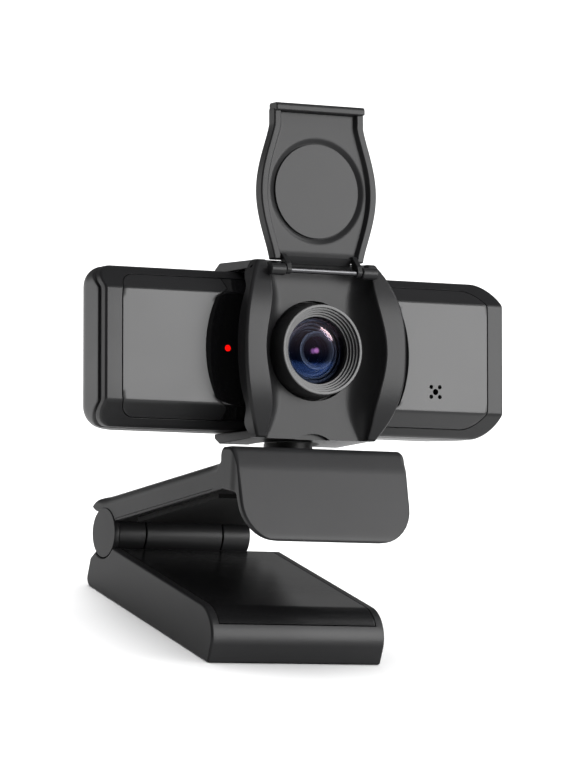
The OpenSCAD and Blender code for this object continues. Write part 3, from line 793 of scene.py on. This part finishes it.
def rear_shell(head):
    """The rear case: a stepped lip behind the front, then a wall whose half width falls
    away as a power of the depth, a rounded back edge and a flat back; the same again
    further in, for its hollow."""
    x, z, r = head["width"] / 2, head["height"] / 2, head["corner"]
    deep, side, wall, soft = head["depth"], 9.4, 1.6, 1.5
    inset_and_depth = [(0.5, LIP_START), (0.5, SEAM_DEPTH - 0.3), (0.55, SEAM_DEPTH - 0.22),
                       (1.0, SEAM_DEPTH - 0.18), (1.0, SEAM_DEPTH), (0.2, SEAM_DEPTH + 0.02),
                       (0.05, SEAM_DEPTH + 0.08), (0.0, SEAM_DEPTH + 0.22)]
    lip = rim_rings([(x - i, z - i, r - i, depth) for i, depth in inset_and_depth], head)

    def body(start, inward, end, shares):
        """Rings from the start ring back to depth end, inset by inward."""
        rings = []
        for share in shares:
            y = start[:, 1] + (end - start[:, 1]) * share
            near = np.clip((y - (end - soft)) / soft, 0, 1)
            bend = soft * (1 - np.sqrt(1 - near ** 2))
            taper = 8.0 * np.clip((y - side) / (deep - side), 0, 1) ** 1.9
            scale_x = (x - inward - taper - bend * 0.6) / (x - inward)
            scale_z = (z - inward - bend) / (z - inward)
            rings.append(np.stack([start[:, 0] * scale_x, y, start[:, 2] * scale_z], -1))
        return np.array(rings)

    shares = np.concatenate([np.linspace(0, 0.86, 22), [0.9, 0.93, 0.955, 0.975, 0.99, 1.0]])
    outer = body(lip[-1], 0.0, deep, shares)
    inside = 2.6
    mouth = rim_rings([(x - inside, z - inside, r - 2.0, LIP_START)], head)[0]
    inner = body(mouth, inside, deep - wall, np.linspace(0, 1, 14))
    rings = np.concatenate([inner[::-1], lip, outer])
    piece = Shell(on_head).tube(rings).object("rear_case")
    posts = Shell(on_head)
    holes = Shell(on_head).rod("y", (0, 0, GLAND_Z), GLAND_HOLE, 10, 20)
    for place in corners(SCREW_X, SCREW_Z):
        posts.rod("y", place, SCREW_POST, 6, deep - 1.2)
        holes.rod("y", place, SCREW_HOLE, deep - 3.5, 20)
    join(piece, posts)
    half, along = SADDLE_ROOM
    saddles = Shell(on_head).block((-half, TILT_BACK - along, -15.6), (half, TILT_BACK + along, -9.6))
    carve(piece, neck_slot(Shell(on_head)), saddles, holes)
    return finish(piece, FINISHES["case"], "head", "case_plastic", "rear_shell")


# ---- the lens ---------------------------------------------------------------------------
def lens_ring(head):
    """The lens ring: a flange, a slightly tapered wall, and a cone of four steps, each
    a flat tread with a rounded nose, down to the glass."""
    reach, radius, glass = head["ring_reach"], head["ring_radius"], head["glass_radius"]
    lip, flange, drop, steps = 0.75, 10.3, 0.55, 4
    step = (radius - lip - glass) / steps
    outline = [(glass + 0.12, -0.05), (flange, -0.05), (flange, -0.75), (radius + 0.38, -1.0),
               (radius, -reach), (radius - lip, -reach)]
    radii = [0, 0.1, 0.25, 0.25, 0.22, 0.1]
    for i in range(steps - 1, -1, -1):
        tread = -(reach - drop * (steps - i))
        outline += [(glass + step * (i + 1), tread), (glass + step * i, tread)]
        radii += [0.03, 0.08]
    profile = fillet(outline, radii, 4)
    piece = Shell(on_head).turned(profile, "y", count=144).object("lens_ring_stepped")
    return finish(piece, FINISHES["ring"], "head", "ring_plastic", "lens_ring")


def lens_barrel():
    """The black barrel: baffles step in from the front glass towards the inner element."""
    outline = [(3.3, 7.6), (5.35, 7.6), (5.35, 0.2), (6.9, -0.1), (6.9, -2.2), (6.2, -2.2),
               (6.0, -1.6), (5.5, -1.6), (5.3, -1.0), (4.8, -1.0), (4.6, -0.5), (4.2, -0.5),
               (4.2, 1.2), (3.3, 1.2)]
    profile = fillet(outline, [0.05] * len(outline), 3)
    piece = Shell(on_head).turned(profile, "y").object("lens_baffles")
    return finish(piece, FINISHES["barrel"], "head", "lens_black", "lens_barrel")


def retaining_ring():
    """The satin ring that holds the inner element."""
    outline = [(3.0, -3.35), (4.15, -3.68), (4.15, -1.9), (2.9, -1.9)]
    profile = fillet(outline, [0.12, 0.12, 0.05, 0.05], 4)
    piece = Shell(on_head).turned(profile, "y").object("lens_retaining_ring")
    return finish(piece, FINISHES["ring"], "head", "lens_black")


def cap_curve(apex, radius, sag):
    """Half of a spherical cap's section, from its apex out to its radius."""
    curve = (radius ** 2 + sag ** 2) / (2 * sag)
    return arc((0, apex + curve), curve, -90, np.degrees(np.arcsin(radius / curve)) - 90, 24)


def glasses(head):
    """The front glass, a shell between two spherical caps with a ground edge, and the
    inner element, a low dome close behind it."""
    reach, inside, edge = head["glass_radius"] - 0.2, 6.3, -2.3
    profile = np.concatenate([cap_curve(-5.05, reach, 2.1), [[reach, edge], [inside, edge]],
                              cap_curve(-4.45, inside, 1.75)[::-1]])
    piece = Shell(on_head).turned(profile, "y", count=128).object("front_glass_dome")
    finish(piece, FINISHES["glass"], "head", "glass", "front_lens", angle=40)
    reach, edge = 3.15, -2.0
    profile = np.concatenate([cap_curve(-3.5, reach, 0.5), [[reach, edge], [0, edge]]])
    piece = Shell(on_head).turned(profile, "y", count=96).object("inner_glass_dome")
    finish(piece, FINISHES["inner_glass"], "head", "glass", "rear_lens", angle=40)


# ---- the privacy cover --------------------------------------------------------------------
RIB_TOP = 18.0  # height where the ribs begin to round over
LUG_IN, LUG_OUT = 9.25, 12.8  # the cover's pin lugs, from the middle
LID_CENTRE = 17.15  # the disc's centre, from the lid's hinge
PIN_HOLE = 0.7


def cover_frame(cover):
    """The cover: a section of two ribs and a trough carried up the head. The rib faces
    lie at minus reach plus 4 times the cube of z over their top; the outer edge is a
    barrel curve; the trough's walls are quarter circles down to its floor."""
    ends, half, reach = cover["end_half_width"], cover["half_width"], cover["reach"]
    upper = np.concatenate([np.linspace(0, 17.6, 34), [RIB_TOP, 18.2, 18.4, 18.55, 18.66, 18.72]])
    z = np.concatenate([-upper[:0:-1], upper])[:, None]
    high = np.abs(z)
    barrel, wide_trough, waist = 18.5, 12.2, 2.1
    outer = ends + (half - ends) * (1 - (np.minimum(high, barrel) / barrel) ** 2.4)
    inner = wide_trough + waist * np.maximum(0, np.cos(np.radians(6.4 * z))) ** 2
    lift = np.clip((high - RIB_TOP) / 0.74, 0, 1)
    rib = -reach + 4.0 * (np.minimum(high, RIB_TOP) / RIB_TOP) ** 3 + 0.9 * (1 - np.sqrt(1 - lift ** 2))
    wing = -4.3 + 3.7 * smooth((high - 12.0) / 4.6)
    floor, back, soft, edge = -2.0, -0.35, 0.7, 0.35
    turn = np.radians(np.linspace(0, 90, 6))[None]
    trough = np.radians(np.linspace(0, 90, 12))[None]
    deep = floor - (rib + edge)
    wing = np.maximum(wing, rib + soft + 0.3)
    left = np.concatenate([-outer + 0.25 + 0 * rib, -outer, -outer + soft * (1 - np.cos(turn)),
                           -inner - edge * (1 - np.sin(turn)), -inner + deep * (1 - np.cos(trough))], 1)
    face = np.concatenate([wing, wing - 0.25, rib + soft * (1 - np.sin(turn)),
                           rib + edge * (1 - np.cos(turn)), rib + edge + deep * np.sin(trough)], 1)
    seat = np.minimum(14.2, outer - 0.9)
    x = np.concatenate([left, -left[:, ::-1], seat, seat, -seat, -seat], 1)
    y = np.concatenate([face, face[:, ::-1], wing, back + 0 * wing, back + 0 * wing, wing], 1)
    rings = np.stack([x, y, z + 0 * x], -1)
    piece = Shell(on_head).tube(rings).object("cover_body")

    joined = Shell(on_head)
    strap_end, strap_seat = 15.3, 17.02
    for side, lip, foot in ((1, -3.1, -2.2), (-1, -1.9, -1.7)):
        strap = [[lip, 18.66], [13.2, 19.2], [strap_end, 18.0], [strap_end, strap_seat],
                 [0.4, strap_seat], [foot, 16.5]]
        strap = fillet(strap, [0.4, 0.5, 0.35, 0.25, 0.6, 0.25], 4)
        joined.across(strap * [1, side], ends - 0.06, 0.2)
    for start, end in ((-LUG_OUT, -LUG_IN), (LUG_IN, LUG_OUT)):
        joined.rod("x", (0, LID_Y, LID_Z), 1.25, start, end, 0.15)
    join(piece, joined)

    lens_and_notch = Shell(on_head).rod("y", (0, 0, 0), 10.6, -9, 1, count=128)
    lens_and_notch.rod("y", (0, 0, -24.9), 7.4, -12, -0.9)
    room, deep = 7.5, 10.5
    neck = Shell(on_head).rod("z", (0, deep, 0), room, -21, -15)
    behind = Shell(on_head).block((-room, deep, -21), (room, 21, -15))
    dimple = Shell(on_head).rod("x", (0, -2.7, 17.1), 0.42, -ends - 1, -ends + 0.8, count=32)
    carve(piece, lens_and_notch, neck, behind, dimple)
    return finish(piece, FINISHES["cover"], "head", "cover_plastic", "cover_frame")


def lid_half(s, cover):
    """Half width of the lid at distance s from its hinge: a swelling between two necks."""
    neck = 10.75
    swell = np.maximum(0, np.sin(np.pi * np.clip((s - 2.5) / 28.5, 0, 1))) ** 1.25
    return neck + (cover["lid_half_width"] - neck) * swell


def lid(cover):
    """The lid: rows of one distance from the hinge; in each, the front drops from the rim
    to the tray and again, by the distance from the disc's centre, into the pocket."""
    rim_y, back_y, tray, pocket, pocket_radius = -4.7, -2.0, 1.05, 0.5, 11.45
    end = cover["lid_length"]
    s = np.concatenate([[2.3], np.linspace(2.75, end - 2.2, 96), [end - 1.2]])[:, None]
    half = lid_half(s, cover)
    near = np.array([0, 0.4, 0.8, 1.25, 1.45, 1.55, 1.65, 1.8, 1.95, 2.1, 2.3, 2.5])[None]
    middle = np.linspace(-1, 1, 76)[None, 1:-1] * (half - near[0, -1])
    x = np.concatenate([-half + near, middle, half - near[:, ::-1]], 1)
    inward = half - np.abs(x)
    y = rim_y + tray * smooth((inward - 1.42) / 0.75)
    y = y + pocket * smooth((pocket_radius - np.hypot(x, s - LID_CENTRE)) / 1.5)
    y = y - 0.5 * smooth((4.6 - s) / 2.4) * smooth((inward - 1.4) / 0.8)
    front = np.stack([x, y, LID_Z + s + 0 * x], -1)
    back = np.stack([x, np.full_like(x, back_y), LID_Z + s + 0 * x], -1)
    piece = round_edges(Shell(on_head).plate(front, back).object("lid_tray"), 0.28, 55, 3)

    tip, step, under = 35.4, 33.7, 33.4
    bar = fillet([[-5.55, step], [-5.55, tip], [-2.06, tip], [-2.06, under], [-3.4, under],
                  [-4.2, step]], [0.3, 0.7, 0.5, 0.26, 0.26, 0.26], 4)
    join(piece, Shell(on_head).across(bar + [0, LID_Z], 10.66, 0.25))
    lug = fillet([[-7.35, -0.2], [-6.9, 1.3], [-4.6, 3.6], [-2.1, 3.6], [-2.1, 2.4], [-4.2, 2.2],
                  [-5.1, -0.4], [-6.2, -1.15]], [0.7, 0.4, 0.4, 0.15, 0.15, 0.4, 0.8, 0.9], 4)
    joined = Shell(on_head)
    for side in (-1, 1):
        joined.across(lug + [0, LID_Z], 0.55, 0.08, centre=side * 8.5)
    skirt = fillet([[-4.6, 3.1], [-3.9, 1.5], [-3.35, 1.5], [-3.35, 3.1]], [0, 0.25, 0.15, 0], 4)
    joined.across(skirt + [0, LID_Z], 7.85)
    join(piece, joined)
    carve(piece, Shell(on_head).rod("x", (0, LID_Y, LID_Z), PIN_HOLE, -12, 12, count=48))
    return finish(piece, FINISHES["cover"], "lid", "cover_plastic", "lid")


def lid_disc(cover):
    """The disc set in the lid, with a fine chamfer."""
    radius = cover["disc_radius"]
    profile = fillet([(0, -3.32), (radius, -3.32), (radius, -3.58), (0, -3.58)], [0, 0, 0.08, 0], 4)
    centre = (0, 0, LID_Z + LID_CENTRE)
    piece = Shell(on_head).turned(profile, "y", centre, 144).object("lid_disc_inlay")
    return finish(piece, FINISHES["disc"], "lid", "lid_disc_plastic", "lid_disc")


# ---- the clip --------------------------------------------------------------------------------
LEFT_KNUCKLE, RIGHT_KNUCKLE = (-19.4, -12.7), (6.2, 13.1)  # the leg's barrels along X
BARREL = 4.8  # radius of the hinge's barrels
DISC = 5.38  # radius of the hinge's end cap
HOLLOW = 5.46  # radius of the room round the hinge
ARM_LOW, ARM_HIGH = 1.76, 7.92  # the arm's faces above the hinge axis
LIP_TOP, LIP_BOTTOM, LIP_LEAN, LIP_THICK, LIP_CORNER = -20.7, -40.6, 0.22, 1.8, 8.0
NOSE = 7.0  # radius of the leg's nose
COVER_INSET = 2.05  # the leg's cover stops this far short of its sides


def along_arm(pairs, angle):
    """Side-view points from (distance forward, height) in the arm's own frame."""
    s, t = np.asarray(pairs, float).T
    return np.stack([-s * np.cos(angle) + t * np.sin(angle), s * np.sin(angle) + t * np.cos(angle)], -1)


def rectangle(left, right, low, high):
    """A rectangle's four corners."""
    return [(left, low), (right, low), (right, high), (left, high)]


def arm(clip, angle):
    """The arm and lip in one: a bar bent over its front. Stations run from the rear tip
    along the arm, over the block and down the lip, whose lower corners are arcs."""
    tip = along_arm([(-5.0, 6.5), (-4.75, 7.1), (-4.2, 7.6), (-3.2, 7.88)]
                    + [(s, ARM_HIGH) for s in (-1.5, 0.6, 3.2, 12, 24, 38, 49, 53.2)], angle)
    under = along_arm([(-5.0, 6.2), (-4.6, 5.7), (-3.9, 5.25), (-2.9, 4.95), (-1.6, 4.3), (0.8, 2.9)]
                      + [(s, ARM_LOW) for s in (3.2, 12, 24, 38, 48, 51.5)], angle)
    level = np.array([-24.5, -26, -28, -30, -31.3, -32.6, -34.2, -35.7, -37.0, -38.2, -39.1,
                      -39.75, -40.2, -40.45, LIP_BOTTOM])
    face = -5.36 + LIP_LEAN * (level + 22)
    round_end = np.array([0.0] * 11 + [0.02, 0.1, 0.25, 0.55])
    front = np.stack([face + round_end, level], -1)
    thick = np.concatenate([np.zeros(4), np.full(11, LIP_THICK)])
    rear = np.stack([face + thick - round_end, level], -1)
    rear[:4] = [[-4.9, -30.6], [-5.1, -30.8], [-5.3, -31.0], [-5.45, -31.2]]
    rear[4] = [-5.55, -31.8]
    rear[5:, 1] = level[5:]
    crown = np.concatenate([[[0.72, -23.0], [0.7, -21.6], [0.55, -21.1], [0.1, LIP_TOP]],
                            arc((-2.7, LIP_TOP - 2.4), 2.4, 90, 168, 7)])
    inside = np.stack([np.linspace(0.2, -4.7, 11), np.linspace(-29.6, -30.5, 11)], -1)
    top = np.concatenate([tip, head_to_clip(np.concatenate([crown, front]))])
    low = np.concatenate([under, head_to_clip(np.concatenate([inside, rear]))])
    wide = clip["arm_width"] / 2
    drop = np.maximum(0, LIP_BOTTOM + LIP_CORNER - level)
    lip_half = wide - 0.25 - LIP_CORNER + np.sqrt(np.maximum(LIP_CORNER ** 2 - drop ** 2, 0))
    narrowing = wide - np.array([0.05, 0.12, 0.2])
    half = np.concatenate([np.full(len(tip) + len(crown) - 3, wide), narrowing, lip_half])
    edge = np.repeat([2.5, 0.9, 0.6], [len(tip), len(crown), len(level)])
    piece = Shell(on_clip).band(top, low, half, edge, 0.5, 7).object("arm_and_lip")

    join(piece, Shell(on_head).rod("z", (0, TILT_BACK, 0), 6.6, -26.5, -23.62, 0.25))
    between, past = (LEFT_KNUCKLE[1], RIGHT_KNUCKLE[0]), 22
    hollows = Shell(on_clip).rod("x", (0, 0, 0), HOLLOW, -past, between[0] + 0.15)
    carve(piece, hollows.rod("x", (0, 0, 0), HOLLOW, between[1] - 0.15, past))
    join(piece, Shell(on_clip).rod("x", (0, 0, 0), BARREL, between[0] + 0.16, between[1] - 0.16, 0.12))
    seam = along_arm(rectangle(5.5, 50.5, ARM_LOW + 0.55, ARM_LOW + 0.68), angle)
    seams = Shell(on_clip)
    for side in (-1, 1):
        seams.across(seam, 0.65, centre=side * (wide + 0.4))
    pad = Shell(on_clip).across(along_arm(rectangle(10.8, 48.4, -0.4, 2.16), angle), 18.2)
    screw = [(0, -34), (2.8, -34), (2.8, -27.35), (1.3, -27.35), (1.3, -22), (0, -22)]
    carve(piece, seams, pad, Shell(on_head).turned(screw, "z", (0, TILT_BACK, 0)))
    return finish(piece, FINISHES["clip"], "arm", "clip_plastic", "arm")


def leg_outline(clip):
    """Side view of the leg: flat sole, round heel, a hollow arc round the hinge, flat top
    and a quarter-circle nose."""
    low, front = -HINGE[2], -clip["leg_length"]
    top = low + clip["leg_thickness"]
    hollow = arc((0, 0), HOLLOW, 297, 180 + np.degrees(np.arcsin(-top / HOLLOW)), 18)
    turns = [[front + 0.4, low], [4.9, low], [4.5, -6.9], hollow[0], [front, top - NOSE]]
    body = fillet(turns, [0.6, 1.9, 1.1, 0, 0], 6)
    return np.concatenate([body[:-1], hollow[1:], arc((front + NOSE, top - NOSE), NOSE, 90, 180, 16)])


def leg_cover_path(clip, inward, end=141.1):
    """The cover's path over the top and nose of the leg, inset by inward."""
    top = -HINGE[2] + clip["leg_thickness"]
    centre = (NOSE - clip["leg_length"], top - NOSE)
    run = np.stack([np.linspace(-5.7, centre[0], 8)[:-1], np.full(7, top - inward)], -1)
    return np.concatenate([run, arc(centre, NOSE - inward, 90, end, 10)])


def leg_shell(clip):
    """The leg's body: its side view carried across, with the cover's seat, the hinge
    channel, the foot's recess and the screw holes cut, and the knuckles joined on."""
    wide = clip["leg_width"] / 2
    piece = Shell(on_clip).across(leg_outline(clip), wide, 0.55, steps=6).object("leg_body")
    seat = np.concatenate([leg_cover_path(clip, -2.0, 143), leg_cover_path(clip, 1.58, 143)[::-1]])
    seat[0, 0] = seat[-1, 0] = -5.6
    carve(piece, Shell(on_clip).across(seat, wide - COVER_INSET + 0.15))
    barrels, feet = Shell(on_clip), Shell(on_clip)
    for start, end in (LEFT_KNUCKLE, RIGHT_KNUCKLE):
        barrels.rod("x", (0, 0, 0), BARREL, start + 0.12, end - 0.12, 0.12)
        feet.block((start + 0.13, -3.1, -8.2), (end - 0.13, 3.4, -3.8))
    join(piece, barrels)
    join(piece, feet)

    low, middle = -HINGE[2], -HINGE[1]
    recess = fillet(rectangle(-17, 17, -11, 11), [3] * 4, 8)
    rings = np.array([np.column_stack([recess + [0, middle], np.full(len(recess), z)])
                      for z in (low - 1, low + 0.8)])
    carve(piece, Shell(on_clip).tube(rings))
    join(piece, Shell(on_clip).rod("z", (0, middle, 0), 6.0, low, low + 1.5))
    holes = Shell(on_clip).rod("z", (0, middle, 0), 4.0, low - 1, low + 6.1)
    screw = [(0, low - 1), (2.1, low - 1), (2.1, low + 1.6), (1.15, low + 1.6), (1.15, low + 8),
             (0, low + 8)]
    for x in (-14, 14):
        for y in (-45, -11):
            holes.turned(screw, "z", (x, y, 0), 48)
    carve(piece, holes)
    return finish(piece, FINISHES["clip"], "leg", "clip_plastic", "leg_shell")


def leg_cover(clip):
    """The smooth inlay that wraps the top and nose of the leg."""
    top, low = leg_cover_path(clip, 0.0), leg_cover_path(clip, 1.5)
    half = clip["leg_width"] / 2 - COVER_INSET
    piece = Shell(on_clip).band(top, low, half, 0.16, 0.1).object("leg_inlay")
    return finish(piece, FINISHES["leg_cover"], "leg", "leg_cover_plastic", "leg_cover")


def hinge_cap(clip):
    """The round cap that closes the hinge on the left, flush with the clip's side."""
    out, near = -clip["arm_width"] / 2 - 0.2, LEFT_KNUCKLE[0] - 0.02
    outline = [(0, near), (DISC, near), (DISC, out), (0, out)]
    piece = Shell(on_clip).turned(fillet(outline, [0, 0.3, 0.12, 0], 4), "x").object("hinge_end_cap")
    return finish(piece, FINISHES["clip"], "leg", "clip_plastic", "hinge_cap")


CAD_FINISHES = {
    "steel": ("case_screws", "board_screws", "tilt_pin", "swivel_screw", "hinge_pin", "leg_screws",
              "microphones"),
    "dark_steel": ("lid_pin",),
    "brass": ("tilt_washers", "swivel_washer", "hinge_washers", "tripod_insert"),
    "rubber": ("cable_gland", "mic_gaskets", "arm_pad", "lip_pad", "foot_pad"),
    "board": ("main_board", "mic_board"),
    "chip": ("image_sensor", "video_chip", "cable_header"),
    "barrel": ("lens_mount",),
    "neck": ("neck", "tilt_saddles"),
    "lamp": ("status_led", "light_pipe"),
}


# ---- stage -----------------------------------------------------------------------------------
AIM = (0, -0.01, 0.06)  # where the softboxes point, in metres
CAMERA_PLACE = np.array([-541.94, -971.36, -91.66])  # in the head's frame
SEEN_LEVEL, MIRRORED_LEVEL = 0.92, 0.10  # the surroundings' light, to the camera and to the pieces


def facing(direction):
    """A rotation whose Z axis lies along a direction."""
    back = direction / np.linalg.norm(direction)
    right = np.cross([0, 0, 1], back)
    right /= np.linalg.norm(right)
    return Matrix(np.column_stack([right, np.cross(back, right), back]).tolist())


def softbox(name, place, size, power, mirrored=True):
    """An area light that faces the middle of the webcam."""
    lamp = bpy.data.lights.new(name, "AREA")
    lamp.shape = "RECTANGLE"
    lamp.size, lamp.size_y = size
    lamp.energy = power
    holder = bpy.data.objects.new(name, lamp)
    bpy.context.scene.collection.objects.link(holder)
    holder.matrix_world = Matrix.Translation(place) @ facing(np.subtract(place, AIM)).to_4x4()
    holder.visible_glossy = mirrored
    return holder


def leave_dark(light, *names):
    """Keeps a light off some of the pieces."""
    kept_off = bpy.data.collections.new(light.name + "_kept_off")
    for name in names:
        kept_off.objects.link(bpy.data.objects[name])
    light.light_linking.receiver_collection = kept_off
    for held in kept_off.collection_objects:
        held.light_linking.link_state = "EXCLUDE"


def floor_sheet(half):
    """A flat square floor."""
    side = np.array([-half, half])
    x, y = np.meshgrid(side, side)
    return Shell(lambda points: points).grid(np.stack([x, y, 0 * x], -1))


def pale_floor():
    """Matt pale paper with a faint mottle."""
    tree = Tree("pale_floor")
    tone = tree.mix(tree.noise(9.0), (0.86, 0.86, 0.865, 1), (0.9, 0.9, 0.9, 1))
    return tree.finish(tree.principled({
        "Base Color": tone, "Roughness": 0.9, "Specular IOR Level": 0.1}))


def soft_world():
    """Soft grey surroundings, brighter where the camera sees them than in reflections."""
    world = bpy.data.worlds.new("soft_surroundings")
    world.use_nodes = True
    tree = world.node_tree
    seen = tree.nodes.new("ShaderNodeLightPath").outputs["Is Camera Ray"]
    level = tree.nodes.new("ShaderNodeMapRange")
    level.inputs["To Min"].default_value = MIRRORED_LEVEL
    level.inputs["To Max"].default_value = SEEN_LEVEL
    tree.links.new(seen, level.inputs["Value"])
    tree.nodes["Background"].inputs["Color"].default_value = (1, 1, 1, 1)
    tree.links.new(level.outputs["Result"], tree.nodes["Background"].inputs["Strength"])
    bpy.context.scene.world = world


def camera(stage):
    """The camera, placed and turned in the head's frame."""
    data = bpy.data.cameras.new("view")
    data.lens = stage.focal
    data.sensor_width = 36.0
    data.clip_start, data.clip_end = 0.05, 20.0
    holder = bpy.data.objects.new("view", data)
    bpy.context.scene.collection.objects.link(holder)
    turn, rise = stage.turn, stage.rise
    back = np.array([-np.sin(turn) * np.cos(rise), -np.cos(turn) * np.cos(rise), np.sin(rise)])
    right = np.cross([0, 0, 1], back)
    right /= np.linalg.norm(right)
    axes = np.array([right, np.cross(back, right), back]) @ np.array([RIGHT, BACK, UP])
    place = on_head(CAMERA_PLACE).tolist()
    holder.matrix_world = Matrix.Translation(place) @ Matrix(axes.T.tolist()).to_4x4()
    bpy.context.scene.camera = holder


# ---- operators ---------------------------------------------------------------------------------
class WEBCAM_OT_finishes(bpy.types.Operator):
    """Makes every finish and puts them on the frame's own nodes"""
    bl_idname = "webcam.finishes"
    bl_label = "Finishes"

    def execute(self, context):
        make_finishes(context.scene.webcam_colours)
        for name, nodes in CAD_FINISHES.items():
            for node in nodes:
                mesh = frame["nodes"][node].data
                mesh.materials.clear()
                mesh.materials.append(FINISHES[name])
        return {"FINISHED"}


class WEBCAM_OT_casing(bpy.types.Operator):
    """Builds the head's frame, panels and rear case"""
    bl_idname = "webcam.casing"
    bl_label = "Casing"

    def execute(self, context):
        head = millimetres(context.scene.webcam_head)
        front_frame(head)
        side_panel("left_panel", -1, head)
        side_panel("right_panel", 1, head)
        middle_panel(head)
        rear_shell(head)
        return {"FINISHED"}


class WEBCAM_OT_lens(bpy.types.Operator):
    """Builds the lens ring, its baffles and its glass"""
    bl_idname = "webcam.lens"
    bl_label = "Lens"

    def execute(self, context):
        head = millimetres(context.scene.webcam_head)
        lens_ring(head)
        lens_barrel()
        retaining_ring()
        glasses(head)
        return {"FINISHED"}


class WEBCAM_OT_cover(bpy.types.Operator):
    """Builds the privacy cover, its lid and the disc in it"""
    bl_idname = "webcam.cover"
    bl_label = "Privacy cover"

    def execute(self, context):
        cover = millimetres(context.scene.webcam_cover)
        cover_frame(cover)
        lid(cover)
        lid_disc(cover)
        return {"FINISHED"}


class WEBCAM_OT_clip(bpy.types.Operator):
    """Builds the arm with its lip, the leg, its inlay and the hinge cap"""
    bl_idname = "webcam.clip"
    bl_label = "Clip"

    def execute(self, context):
        sizes = context.scene.webcam_clip
        clip = millimetres(sizes)
        arm(clip, sizes.arm_angle)
        leg_shell(clip)
        leg_cover(clip)
        hinge_cap(clip)
        return {"FINISHED"}


class WEBCAM_OT_stage(bpy.types.Operator):
    """Builds the floor, the lights and the camera"""
    bl_idname = "webcam.stage"
    bl_label = "Stage"

    def execute(self, context):
        stage = context.scene.webcam_stage
        floor = floor_sheet(stage.floor).object("pale_floor")
        floor.data.materials.append(pale_floor())
        floor.data.shade_smooth()
        soft_world()
        front = softbox("front_softbox", (0.62, -0.86, 0.48), (0.66, 0.72), 21.5)
        softbox("left_softbox", (-0.70, 0.92, 0.16), (0.5, 0.34), 0.8)
        softbox("back_softbox", (0.75, 1.30, 0.32), (0.9, 0.5), 0.4)
        softbox("top_softbox", (0.0, 0.3, 2.2), (3.0, 3.0), 120.0, mirrored=False)
        softbox("lens_light", (0.82, -0.16, 0.75), (0.42, 0.5), 4.6)
        leave_dark(front, "middle_plate", "front_glass_dome", "inner_glass_dome", "pale_floor")
        camera(stage)
        context.scene.view_settings.view_transform = "Standard"
        return {"FINISHED"}


class WEBCAM_PT_panel(bpy.types.Panel):
    """Lists the webcam's settings and its pieces"""
    bl_label = "Webcam"
    bl_idname = "WEBCAM_PT_panel"
    bl_space_type = "VIEW_3D"
    bl_region_type = "UI"
    bl_category = "Webcam"

    def draw(self, context):
        for group in GROUPS:
            box = self.layout.box()
            settings = getattr(context.scene, group)
            for key in settings.__annotations__:
                box.prop(settings, key)
        for operator in OPERATORS:
            self.layout.operator(operator.bl_idname)


GROUPS = {"webcam_head": HeadSizes, "webcam_cover": CoverSizes, "webcam_clip": ClipSizes,
          "webcam_colours": FinishColours, "webcam_stage": StageSettings}
OPERATORS = (WEBCAM_OT_finishes, WEBCAM_OT_casing, WEBCAM_OT_lens, WEBCAM_OT_cover,
             WEBCAM_OT_clip, WEBCAM_OT_stage)


def register():
    """Registers the classes and puts the settings on the scene."""
    for item in (*GROUPS.values(), *OPERATORS, WEBCAM_PT_panel):
        bpy.utils.register_class(item)
    for name, group in GROUPS.items():
        setattr(bpy.types.Scene, name, bpy.props.PointerProperty(type=group))


def unregister():
    """Takes the settings and classes away again."""
    for name in GROUPS:
        delattr(bpy.types.Scene, name)
    for item in (WEBCAM_PT_panel, *OPERATORS[::-1], *list(GROUPS.values())[::-1]):
        bpy.utils.unregister_class(item)


def main():
    """Builds every piece and the stage."""
    register()
    bpy.ops.webcam.finishes()
    bpy.ops.webcam.casing()
    bpy.ops.webcam.lens()
    bpy.ops.webcam.cover()
    bpy.ops.webcam.clip()
    bpy.ops.webcam.stage()
    bpy.context.view_layer.update()


if __name__ == "__main__":
    main()
